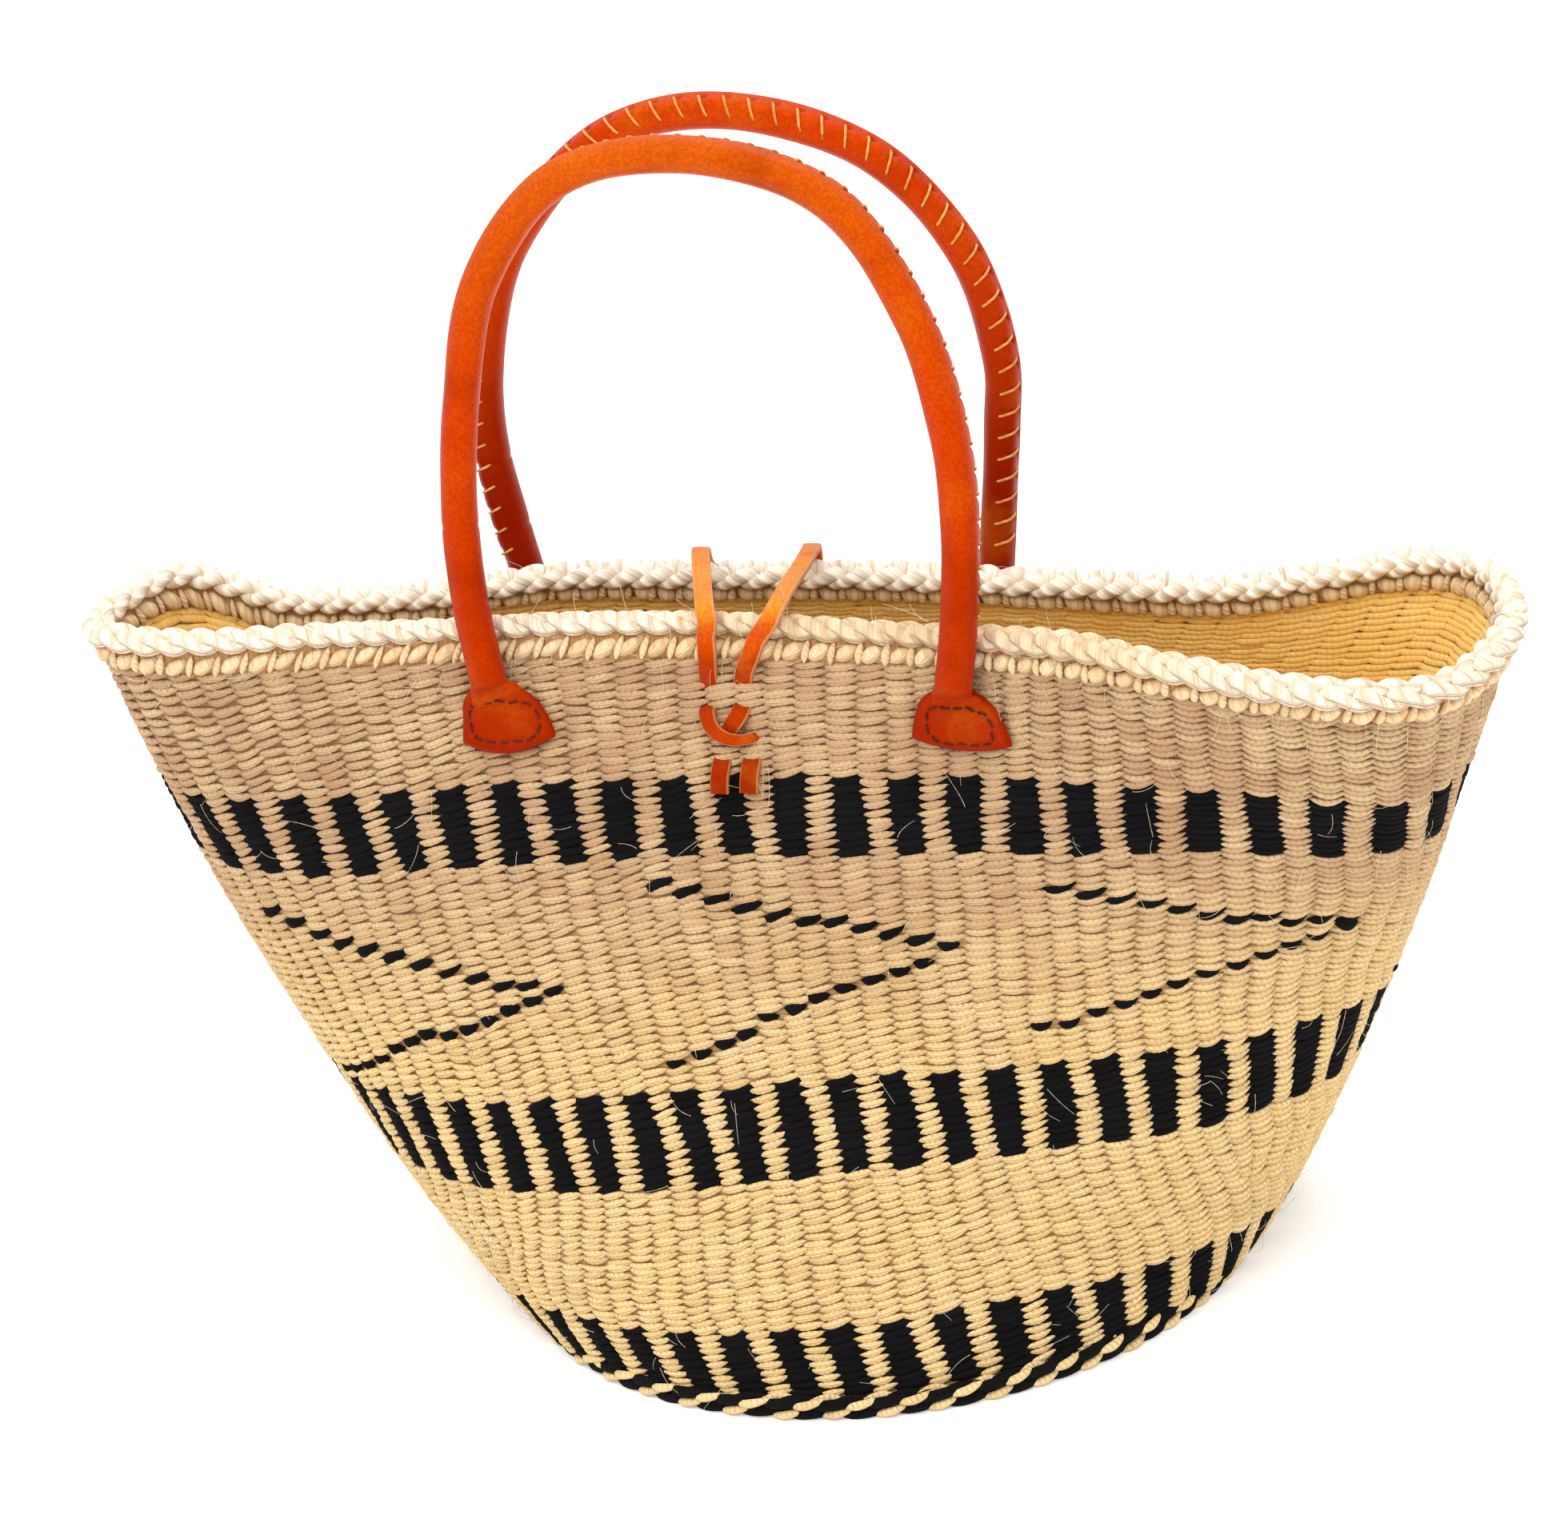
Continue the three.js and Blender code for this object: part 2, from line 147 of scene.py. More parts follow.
# ---- shape of the wall
class Wall:
    """The middle surface of the wall: s goes round from 0 to 1, h up a warp in millimetres."""

    S, H, TOP = 1440, 137, 272.0

    def __init__(self):
        s = arange(self.S) / self.S
        rim = spline(RIM_POINTS, True)
        rim = vstack([rim, rim[:1]])
        d = lengths_along(rim)
        top = columns_at(s * d[-1], d, rim)
        turn = TAU * s + BASE_TURN
        base = stack([BASE_RADIUS * cos(turn), BASE_RADIUS * sin(turn), 0 * s], 1)
        turn = TAU * s + BELLY_TURN
        c, n = cos(turn), sin(turn)
        x = BELLY["x"] + np.where(c > 0, BELLY["right"], BELLY["left"]) * np.sign(c) * abs(c)**BELLY_POWER
        y = BELLY["y"] + np.where(n < 0, BELLY["front"], BELLY["back"]) * np.sign(n) * abs(n)**BELLY_POWER
        belly = stack([x, y, BELLY["z"] + BELLY_TILT * c], 1)
        t = linspace(0, 1, 61)[None, :, None]
        warp = (base[:, None] * (1 - t) * (1 - 2 * t) + belly[:, None] * 4 * t * (1 - t)
                + top[:, None] * t * (2 * t - 1))
        run = np.linalg.norm(np.diff(warp, axis=1), axis=2)
        run = np.hstack([np.zeros((self.S, 1)), np.cumsum(run, 1)])
        run /= run[:, -1:]
        self.h = linspace(0, self.TOP, self.H)
        share = self.h / WARP_LENGTH
        self.grid = stack([columns_at(share, run[i], warp[i]) for i in range(self.S)])
        over = share > 1
        tangent = unit(warp[:, -1] - warp[:, -2])[:, None]
        self.grid[:, over] = top[:, None] + tangent * (self.h[over] - WARP_LENGTH)[None, :, None]
        round_ = np.roll(self.grid, -2, 0) - np.roll(self.grid, 2, 0)
        self.normal = unit(np.cross(round_, np.gradient(self.grid, axis=1)))
        ring = np.linalg.norm(np.roll(self.grid, -1, 0) - self.grid, axis=2)
        self.ring = vstack([np.zeros((1, self.H)), np.cumsum(ring, 0)])

    def look(self, table, s, h):
        """A table of the wall read at s and h."""
        a = (np.asarray(s, float) % 1) * self.S
        b = np.clip(np.asarray(h, float) / self.TOP * (self.H - 1), 0, self.H - 1.001)
        i, j = a.astype(int) % self.S, b.astype(int)
        fa, fb = (a - a.astype(int))[..., None], (b - j)[..., None]
        k = (i + 1) % self.S
        return ((table[i, j] * (1 - fa) + table[k, j] * fa) * (1 - fb)
                + (table[i, j + 1] * (1 - fa) + table[k, j + 1] * fa) * fb)

    def point(self, s, h, offset=0.0):
        """The place at s and h, offset outward from the middle of the wall."""
        s, h, offset = np.broadcast_arrays(s, h, offset)
        return self.look(self.grid, s, h) + self.look(self.normal, s, h) * offset[..., None]

    def out(self, s, h):
        return unit(self.look(self.normal, s, h))

    def turn_lengths(self, h):
        """Distances round the wall at height h, for s = 0 to 1 in steps."""
        b = min(h / self.TOP * (self.H - 1), self.H - 1.001)
        j = int(b)
        return self.ring[:, j] * (1 - b + j) + self.ring[:, j + 1] * (b - j)


wall = Wall()
S_STEPS = arange(Wall.S + 1) / Wall.S
PERIMETER = wall.turn_lengths(WARP_LENGTH)[-1]


# ---- mesh helpers
def link(name, data):
    """A new object with the data, in the scene."""
    obj = bpy.data.objects.new(name, data)
    bpy.context.scene.collection.objects.link(obj)
    return obj


def make(name, points, faces, material, uv=None, tint=None, slots=None):
    """A mesh object from points in millimetres. slots is one material number per face."""
    points = np.asarray(points, float).reshape(-1, 3) * MM
    faces = np.asarray(faces, np.int32)
    mesh = bpy.data.meshes.new(name)
    mesh.vertices.add(len(points))
    mesh.vertices.foreach_set("co", points.astype(np.float32).ravel())
    sides = faces.shape[1]
    mesh.loops.add(faces.size)
    mesh.loops.foreach_set("vertex_index", faces.ravel())
    mesh.polygons.add(len(faces))
    mesh.polygons.foreach_set("loop_start", arange(0, faces.size, sides, dtype=np.int32))
    mesh.polygons.foreach_set("loop_total", np.full(len(faces), sides, np.int32))
    if slots is not None:
        mesh.polygons.foreach_set("material_index", np.asarray(slots, np.int32))
    mesh.update(calc_edges=True)
    mesh.polygons.foreach_set("use_smooth", np.full(len(faces), True))
    if uv is not None:
        layer = mesh.uv_layers.new(name="along")
        layer.data.foreach_set("uv", np.asarray(uv, np.float32)[faces.ravel()].ravel())
    if tint is not None:
        mesh.attributes.new("tint", "FLOAT", "POINT").data.foreach_set("value", np.asarray(tint, np.float32))
    for m in material if isinstance(material, (list, tuple)) else [material]:
        mesh.materials.append(m)
    return link(name, mesh)


def finish_piece(obj, slot, *nodes, body="basket"):
    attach(obj, body)
    if nodes:
        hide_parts(*nodes)


FLIP = [0, 3, 2, 1]


def grid_faces(rows, columns, close_rows=False, close_columns=True):
    """Quads between neighbours in a grid. They face outward where its rows are rings of a tube."""
    i, j = np.meshgrid(arange(rows if close_rows else rows - 1),
                       arange(columns if close_columns else columns - 1), indexing="ij")
    k, l = (i + 1) % rows, (j + 1) % columns
    return stack([i * columns + j, i * columns + l, k * columns + l, k * columns + j], -1).reshape(-1, 4)


def strip(a, b):
    """Quads between two closed rows of points, given by their numbers."""
    return stack([a, np.roll(a, -1), np.roll(b, -1), b], 1)


def tube_faces(rings, sides, count=1, close=False):
    """Quads of count tubes, each of rings by sides points, one after another."""
    quads = grid_faces(rings, sides, close)
    if not close:
        for ring, flip in ((0, True), (rings - 1, False)):
            ids = ring * sides + arange(sides)
            ids = ids[::-1] if flip else ids
            for m in range(1, sides - 2, 2):
                quads = vstack([quads, [[ids[0], ids[m], ids[m + 1], ids[min(m + 2, sides - 1)]]]])
    return (quads[None] + (arange(count) * rings * sides)[:, None, None]).reshape(-1, 4)


def thicken(middle, half, wave):
    """Rings of values round middle lines. wave is the sine or cosine of the angle round them."""
    return middle[:, :, None] + half[:, :, None] * wave


def around_axis(angle, r, z):
    return stack([r * cos(angle)[:, :, None], r * sin(angle)[:, :, None], z], -1)


def yarn_pieces(points, u, q, stretch, spread):
    """Closed pieces of yarn, as points, faces, UV and tint. points go by piece, ring and side."""
    n, rings, sides = points.shape[:3]
    along = np.broadcast_to(u * stretch, (n, rings)) + rng.uniform(0, spread, n)[:, None]
    uv = pairs(along[:, :, None], q / TAU)
    tint = np.repeat(rng.uniform(0, 1, n), rings * sides)
    return points.reshape(-1, 3), tube_faces(rings, sides, n), uv, tint


def yarn_tube(path, radius, sides, close=False, per_mm=0.11, tint=0.5, up=(0, 0, 1)):
    """A round tube along a path, as points, faces, UV and tint. radius may change along it."""
    t = unit(np.roll(path, -1, 0) - np.roll(path, 1, 0) if close else np.gradient(path, axis=0))
    a = unit(np.cross(t, up))
    b = np.cross(a, t)
    q = angles(sides)[:, None]
    r = np.broadcast_to(radius, len(path))[:, None, None]
    points = path[:, None] + r * (cos(q) * a[:, None] + sin(q) * b[:, None])
    uv = pairs((lengths_along(path) * per_mm)[:, None], arange(sides) / sides)
    return points.reshape(-1, 3), tube_faces(len(path), sides, 1, close), uv, np.full(len(path) * sides, tint)


def join_parts(name, parts, material):
    """One mesh from parts, each as points, faces, UV and tint. The UVs may all be None."""
    points, faces, uvs, tints = zip(*parts)
    base = np.cumsum([0] + [len(p) for p in points[:-1]])
    faces = vstack([f + b for f, b in zip(faces, base)])
    uv = None if uvs[0] is None else vstack(uvs)
    return make(name, vstack(points), faces, material, uv, np.concatenate(tints))


# ---- materials
def new_material(name):
    material = bpy.data.materials.new(name)
    material.use_nodes = True
    return material, material.node_tree, material.node_tree.nodes["Principled BSDF"]


def fill(tree, node, inputs):
    """Sets inputs of a node, each to a value or to another node's output."""
    for key, value in inputs.items():
        if hasattr(value, "node"):
            tree.links.new(value, node.inputs[key])
        else:
            node.inputs[key].default_value = value


def add(tree, kind, inputs=None, **settings):
    """A shader node, with its inputs and its other settings."""
    node = tree.nodes.new("ShaderNode" + kind)
    for key, value in settings.items():
        setattr(node, key, value)
    fill(tree, node, inputs or {})
    return node


def maths(tree, operation, *values):
    return add(tree, "Math", dict(enumerate(values)), operation=operation).outputs[0]


def noise(tree, place, scale, detail, roughness=0.5):
    return add(tree, "TexNoise",
               {"Vector": place, "Scale": scale, "Detail": detail, "Roughness": roughness}).outputs[0]


def mix(tree, factor, a, b):
    return add(tree, "Mix", {0: factor, 6: a, 7: b}, data_type="RGBA").outputs[2]


def ramp(tree, value, low, high, a=0.0, b=1.0):
    return add(tree, "MapRange",
               {0: value, 1: low, 2: high, 3: a, 4: b}, interpolation_type="SMOOTHSTEP").outputs[0]


def colour(c):
    """Linear RGBA from 0 to 255 sRGB."""
    return tuple(((v / 255 + 0.055) / 1.055) ** 2.4 if v > 10 else v / 3295 for v in c) + (1.0,)


def layered(tree, body, *layers):
    """Colours over a body colour. Each grows to its strength as its value goes from low to high."""
    for value, low, high, strength, tone in layers:
        body = mix(tree, ramp(tree, value, low, high, 0.0, strength), body, colour(tone))
    return body


def bumped(tree, relief, strength, depth):
    return add(tree, "Bump", {"Height": relief, "Strength": strength, "Distance": depth}).outputs[0]


def tint_of(tree):
    return add(tree, "Attribute", attribute_name="tint").outputs["Fac"]


def yarn(name, low, dark, pale, high=None, twist=2.6, rough=0.86, bump=0.35, sheen=0.1, underside_shade=0.55,
         fade=0.32, fade_from=0.5, deepen=0.16):
    """Twisted plant fibre. low and high are its colours at the foot and top of the wall, if they differ; the
    change between them is painted shade. Each strand's underside is darkened as painted shade.
    """
    material, tree, shader = new_material(name)
    place = add(tree, "TexCoord").outputs
    uv = add(tree, "SeparateXYZ", {0: place["UV"]}).outputs
    height = add(tree, "SeparateXYZ", {0: place["Object"]}).outputs[2]
    slant = maths(tree, "MULTIPLY_ADD", uv[0], twist, uv[1])
    across = add(tree, "CombineXYZ", {0: slant, 1: uv[0], 2: 0.0}).outputs[0]
    stretched = {0: across, 1: (16.0, 0.25, 1.0)}
    drawn = add(tree, "VectorMath", stretched, operation="MULTIPLY").outputs[0]
    hair = noise(tree, drawn, 1.0, 3.0, 0.6)
    ply = maths(tree, "SINE", maths(tree, "MULTIPLY", slant, TAU * 2))
    patch = noise(tree, place["Object"], 38.0, 3.0)
    # Painted shade: the underside of each strand darkens towards the dark colour, where shade falls between
    # the rows.
    under = maths(tree, "COSINE", maths(tree, "MULTIPLY_ADD", uv[1], TAU, pi / 2))
    # The tint pales or darkens whole pieces: at random on stitches and fibres, which is the fibre's own tone,
    # but as painted highlight on the rim plait and painted shade on the warp cords.
    tint = tint_of(tree)
    # Painted shade: the colour runs from low at the foot to high at the top of the wall.
    body = layered(tree, mix(tree, ramp(tree, height, 0.085, 0.175), colour(low), colour(high or low)),
                   (patch, 0.35, 0.7, 0.4, pale), (tint, fade_from, 1.0, fade, pale),
                   (tint, 0.45, 0.0, deepen, dark), (hair, 0.52, 0.34, 0.45, dark),
                   (ply, -0.55, -1.0, 0.4, dark), (under, 0.45, 0.98, underside_shade, dark))
    relief = maths(tree, "MULTIPLY_ADD", hair, 0.5, ply)
    fill(tree, shader, {"Base Color": body, "Normal": bumped(tree, relief, bump, 0.0005), "Roughness": rough,
                        "Sheen Weight": sheen, "Sheen Roughness": 0.5, "Specular IOR Level": 0.12})
    return material


def leather(name, body, dark, light, rough=(0.36, 0.55), shine=0.35):
    """Dyed leather. The tint of a mesh runs from 0, dark, to 1, pale. On the handles and the thong it carries
    painted highlight towards the top and painted shade lower down, and on the handles painted shade in the
    seam dents.
    """
    material, tree, shader = new_material(name)
    place = add(tree, "TexCoord").outputs["Object"]
    cloud = noise(tree, place, 30.0, 4.0, 0.6)
    fine = noise(tree, place, LEATHER_GRAIN, 3.0)
    cells = add(tree, "TexVoronoi", {"Vector": place, "Scale": LEATHER_GRAIN * 0.8},
                feature="DISTANCE_TO_EDGE").outputs[0]
    tint = tint_of(tree)
    tone = layered(tree, mix(tree, ramp(tree, tint, 0.0, 0.5), colour(dark), colour(body)),
                   (tint, 0.5, 1.0, 1.0, light), (cloud, 0.52, 0.30, 0.45, dark),
                   (cloud, 0.52, 0.75, 0.35, light), (fine, 0.62, 0.40, 0.3, dark))
    relief = maths(tree, "MULTIPLY_ADD", fine, 0.7, cells)
    fill(tree, shader, {"Base Color": tone, "Normal": bumped(tree, relief, 0.12, 0.0003),
                        "Roughness": ramp(tree, cloud, 0.3, 0.7, rough[0], rough[1]),
                        "Specular IOR Level": shine, "Specular Tint": (1.0, 0.24, 0.02, 1)})
    return material


# The natural weave's darker, pinker top colour is painted shade on the upper wall.
NATURAL = yarn("natural_sisal", (237, 209, 147), (146, 100, 60), (236, 212, 164), (190, 156, 122))
# The warps show only in the gaps between stitches: their darker colour is painted shade in those gaps, and in
# the checked bands their tint takes them nearly black as more painted shade.
WARP = yarn("warp_sisal_painted_shade", (184, 142, 94), (22, 17, 14), (196, 154, 104), (176, 138, 98), deepen=0.97)
BLACK = yarn("black_sisal", (13, 12, 14), (5, 4, 6), (26, 24, 27),
             bump=0.5, sheen=0.0, rough=0.95)
# The inner faces get a brighter, more orange copy of the fibre colour: painted light from the bounces inside
# the basket.
INSIDE_BOUNCE_LIT = yarn("inner_sisal_painted_bounce_light", (255, 212, 116), (250, 190, 96), (255, 232, 160), (255, 216, 124),
              bump=0.2, underside_shade=0.1)
# The rim plait's tint pales it towards the back and both ends of the rim: painted highlight.
RIM = yarn("rim_sisal", (228, 205, 165), (172, 122, 62), (255, 250, 236),
           twist=1.6, underside_shade=0.75, bump=0.7, fade=0.85, fade_from=0.0)
HAIR = yarn("hair_sisal", (244, 230, 202), (190, 146, 84), (252, 244, 226), twist=1.6)
COURSE = yarn("course_sisal", (231, 203, 158), (186, 142, 90), (244, 228, 194), twist=1.6)
PACKED = yarn("packed_sisal", (186, 142, 92), (140, 96, 52), (206, 164, 112))
LEATHER = leather("orange_leather", (194, 57, 1), (136, 19, 0), (206, 104, 12))
THONG = leather("thong_leather", (206, 74, 1), (136, 28, 0), (244, 152, 44), rough=(0.4, 0.5), shine=0.3)
CUT_EDGE = leather("cut_edge", (206, 142, 98), (176, 108, 66), (226, 172, 130), rough=(0.8, 0.9), shine=0.1)
THREAD_DARK = yarn("dark_thread", (88, 24, 8), (50, 14, 5), (112, 40, 16), twist=1.2)
THREAD_PALE = yarn("pale_thread", (226, 150, 70), (170, 84, 24), (246, 196, 116), twist=1.2)


# ---- the warps of the wall
def warp_units():
    """Where each upright warp stands round the wall, and the rows where it starts and ends."""
    never, always = -99.0, 999.0
    units = [[i / FIRST_WARPS, never, always] for i in range(FIRST_WARPS)]
    for k, place in enumerate((0.2, 0.24, 0.28, 0.16, 0.32, 0.36)):
        for side in (place, 1 - place):
            units.append([side + 0.003, 12.5 + 2.4 * k, always])
    units.sort()
    for k, place in enumerate((0.43, 0.48)):
        for side in (place, 1 - place):
            nearest = min(units, key=lambda u: abs(u[0] - side))
            nearest[2] = 48.0 + 9 * k
    return np.array(units)


UNITS = warp_units()


def warps_at(row):
    """s of each live warp at a row, the first one being the middle front warp."""
    weight = smooth((row - UNITS[:, 1]) / 7) * (1 - smooth((row - UNITS[:, 2]) / 7))
    live = weight > 0.02
    place = np.cumsum(weight) - weight / 2
    place = (place - place[0]) / weight.sum()
    h = ROW * (row + 0.5)
    run = wall.turn_lengths(h)
    anchor = interp(h, (21, 92, 192, 255), (0.7541, 0.7530, 0.7448, 0.7420))
    along = interp(anchor, S_STEPS, run) + place[live] * run[-1]
    return interp(along % run[-1], run, S_STEPS) + (along >= run[-1])


def s_between(s, index):
    """s at a place between warps: index 3.5 is halfway from warp 3 to warp 4."""
    full = np.r_[s[-1] - 1, s, s[0] + 1, s[1] + 1]
    return interp(index, arange(-1, len(s) + 2), full)


# ---- the single dark stitches
# The arms of the zig-zags, with one dark stitch on each warp they cross: s and h of both ends.
ARMS = [
    (0.5553, 166, 0.6714, 141), (0.5446, 106, 0.6714, 141),
    (0.6984, 172, 0.7881, 150), (0.6991, 114, 0.7881, 148),
    (0.8180, 171, 0.8835, 154), (0.8835, 154, 0.9348, 149), (0.8109, 120, 0.9300, 148),
    (0.9900, 168, 1.1000, 144), (0.9800, 112, 1.1000, 142),
    (1.1500, 170, 1.2600, 148), (1.1400, 116, 1.2600, 146),
    (1.3100, 168, 1.4200, 144), (1.3000, 112, 1.4200, 142),
]


def keys(count):
    """Numbers of the warps counted from the middle front one, negative to its left."""
    k = arange(count)
    return np.where(k < count / 2, k, k - count)


def dash_table():
    """For each row, its dark stitches: 1 on an arm that falls to the right, -1 on one that rises."""
    tracks = {}
    for row in DASH_ROWS:
        s = warps_at(row)
        for key, place in zip(keys(len(s)), s):
            tracks.setdefault(int(key), []).append((row, place))
    table = {}
    for s0, h0, s1, h1 in ARMS:
        for key, track in tracks.items():
            best = (ROW * 0.8, None)
            for row, place in track:
                for q in (place - 1, place, place + 1):
                    if s0 <= q <= s1:
                        miss = abs(h0 + (h1 - h0) * (q - s0) / (s1 - s0) - ROW * (row + 0.5))
                        best = min(best, (miss, row), key=lambda v: v[0])
            if best[1] is not None:
                table.setdefault(best[1], {})[key] = 1 if h1 < h0 else -1
    return table


DASHES = dash_table()


# ---- how the cloth wanders
def lift(s, h):
    """How far the cloth bulges where the closing thong passes under it."""
    q = ((s % 1) - 0.7268) / 0.0108
    bulge = np.exp(-((h - 230.6) / 4.7) ** 4) * 1.9 + np.exp(-((h - 211.9) / 2.8) ** 4) * 1.7
    return np.exp(-(q**2) ** 2) * bulge


# The woven edge is uneven: places round the basket, and how far it rises there above the CAD rim.
EDGE = ((0.03, 3.0), (0.08, 1.5), (0.13, -3.0), (0.18, -2.2), (0.24, -1.2), (0.30, -3.0), (0.36, 1.8),
        (0.40, -1.2), (0.44, -6.5), (0.478, 5.5), (0.51, 6.0), (0.55, 6.2), (0.61, 3.3), (0.66, 1.8),
        (0.70, 0.0), (0.76, -1.6), (0.80, -1.0), (0.85, 3.4), (0.90, 1.4), (0.95, 6.4), (0.985, 4.5))
UNEVEN = interp(S_STEPS[:-1], *zip(*EDGE), period=1)
UNEVEN = sum(np.roll(UNEVEN, k) for k in range(-12, 13)) / 25
UNEVEN = np.r_[UNEVEN, UNEVEN[0]]


def edge_rise(s, h):
    """The upper rows stretch or close up to follow the uneven edge."""
    return interp(np.asarray(s) % 1, S_STEPS, UNEVEN) * smooth((h - 203) / 40)


def drift(s, h):
    """Slow unevenness of the rows, which fades out at both edges of the wall."""
    s = TAU * s
    wave = (0.55 * sin(5 * s + h / 34) + 0.40 * sin(13 * s - h / 23 + 1)
            + 0.26 * sin(29 * s + h / 11 + 2) + 0.16 * sin(61 * s - h / 6))
    return wave * smooth((h - 4) / 22) * smooth((244 - h) / 20)


# ---- the woven wall
# Half the length of a stitch in warp spaces, how far it stands out, the power and depth of its taper
# and half its height, by whether it lies in a checked band and whether it is dark.
STITCH = {
    (False, False): (0.67, 1.32, 2.5, 0.92, 1.46), (True, False): (0.63, 1.25, 1.7, 0.96, 1.46),
    (False, True): (0.60, 1.40, 2.0, 0.94, 1.85), (True, True): (0.78, 0.95, 2.6, 0.60, 1.55),
}


def stitches(row, inside):
    """The warps of a row, which of their stitches are dark and how each one leans."""
    s = warps_at(row)
    band = any(a <= row < b for a, b in BANDS)
    lean = np.zeros(len(s))
    dark = ((arange(len(s)) % 2 == 0) != inside) & band
    if not band and not inside:
        lean = np.array([DASHES.get(row, {}).get(key, 0) for key in keys(len(s))])
        dark = lean != 0
    return s, band, dark, lean


def build_stitches(name, rows, inside, want_dark, material):
    """The natural or the dark stitches of some rows, on the outside or the inside of the wall."""
    rings, sides = (5, 6) if inside else (7, 8)
    u0 = linspace(-1, 1, rings)
    q = angles(sides, 0.5)
    parts = []
    for row in rows:
        s, band, dark, lean = stitches(row, inside)
        k = np.flatnonzero(dark == want_dark)
        n = len(k)
        if not n:
            continue
        lean = lean[k]
        dash = want_dark and not band
        reach, high, power, tip, tall = STITCH[band, want_dark]
        if inside:
            reach, high, tall = 0.78, 0.7, 1.7
        ragged = 0.11 if band and not want_dark else 0.04
        reach = (reach - 0.16 * (lean < 0) + rng.uniform(-ragged, ragged, n))[:, None]
        u = u0[None] * reach + (0 if dash else 0.03)
        size = rng.normal(1, 0.07, n).clip(0.84, 1.2)[:, None]
        wobble = jitter(0.16, n)
        rise = np.where(lean > 0, 1.05, np.where(lean < 0, 0.25, 0.50)) + rng.normal(0, 0.2, n)
        rise = rise[:, None] * (0.5 if inside else 1)
        sign = -1 if inside else 1
        droop = 0.65 * (u / reach) ** 2 - 0.25
        h = ROW * (row + 0.5) + sign * rise * sin(pi * u * 0.8) + droop + wobble
        peak = 0.0 if dash or (band and not want_dark) else 0.13
        bulge = high * cos(pi * (u - peak) * (0.80 if band else 0.86))
        if inside:
            bulge = 0.62 + 0.5 * bulge
        off = sign * (bulge + jitter(0.10, n))
        taper = (1 - tip * abs(u0) ** power)[None]
        tall = tall * size * taper * (1 + 0.12 * (lean < 0))[:, None]
        deep = (0.8 if inside else 1.25) * size * taper
        place = s_between(s, k[:, None] + u) + 0.0006 * sin(row / 3.1 + k[:, None])
        h = h + drift(place, h)
        h = h + edge_rise(place, h)
        off = thicken(off, deep, cos(q))
        if not inside:
            off = off + lift(place[:, :, None], h[:, :, None])
        points = wall.point(place[:, :, None], thicken(h, tall, sin(q)), off)
        parts.append(yarn_pieces(points, u, q, 0.9, 5))
    return join_parts(name, parts, material)


ZONES = [
    ("lower_check", LOWER_BAND, "lower_check_band"),
    ("lower_plain", (LOWER_BAND[1], LOWER_SPLIT), "lower_plain_wall"),
    ("lower_plain_upper", (LOWER_SPLIT, MIDDLE_BAND[0]), None),
    ("middle_check", MIDDLE_BAND, "middle_check_band"),
    ("zigzag_lower", (MIDDLE_BAND[1], ZIGZAG_SPLIT), "zigzag_wall"),
    ("zigzag_upper", (ZIGZAG_SPLIT, UPPER_BAND[0]), None),
    ("upper_check", UPPER_BAND, "upper_check_band"),
    ("upper_plain", (UPPER_BAND[1], TOP_ROW), "upper_plain_wall"),
]
for zone, (low, high), node in ZONES:
    banded, dashed = "check" in zone, zone.startswith("zigzag")
    for inside, dark in ((False, False), (False, True), (True, False), (True, True)):
        if dark and not (banded or dashed and not inside):
            continue
        material = BLACK if dark else INSIDE_BOUNCE_LIT if inside else NATURAL
        name = zone + ("_inner" if inside else "") + ("_dark" if dark else "") + "_weft"
        piece = build_stitches(name, range(low, high), inside, dark, material)
        first = node and not inside and not dark
        slot = "black_and_natural_sisal" if dark else "natural_sisal"
        finish_piece(piece, slot, *([node] if first else []))


def warp_cords():
    """The upright warps inside the weave, which close the gaps between the stitches. Their dark colour is
    painted shade in the gaps.
    """
    rows = np.r_[1, arange(2, TOP_ROW + 2, 2)]
    per_warp = 6
    count = MOST_WARPS * per_warp
    points = []
    for side in (1, -1):
        for row in rows:
            s = warps_at(row)
            index = arange(count) / count * len(s)
            ripple = 0.35 + 0.3 * cos(TAU * index)
            place = s_between(s, index)
            points.append(wall.point(place, ROW * row + edge_rise(place, ROW * row), side * ripple))
    points = vstack(points)
    n = len(rows)
    outer = grid_faces(n, count)
    top = strip(arange(count), arange(count) + n * count)
    uv = np.zeros((len(points), 2))
    uv[:, 0] = points[:, 2] / 9
    banded = np.array([any(a <= row <= b for a, b in BANDS) for row in rows])
    # Painted shade: the warps in the checked bands get tint 0, which darkens them nearly to black.
    tint = np.tile(np.repeat(np.where(banded, 0.0, 0.5), count), 2)
    faces = vstack([outer, outer[:, ::-1] + n * count, top[:, FLIP], top + (n - 1) * count])
    return make("warp_cords", points, faces, WARP, uv, tint)


finish_piece(warp_cords(), "natural_sisal")


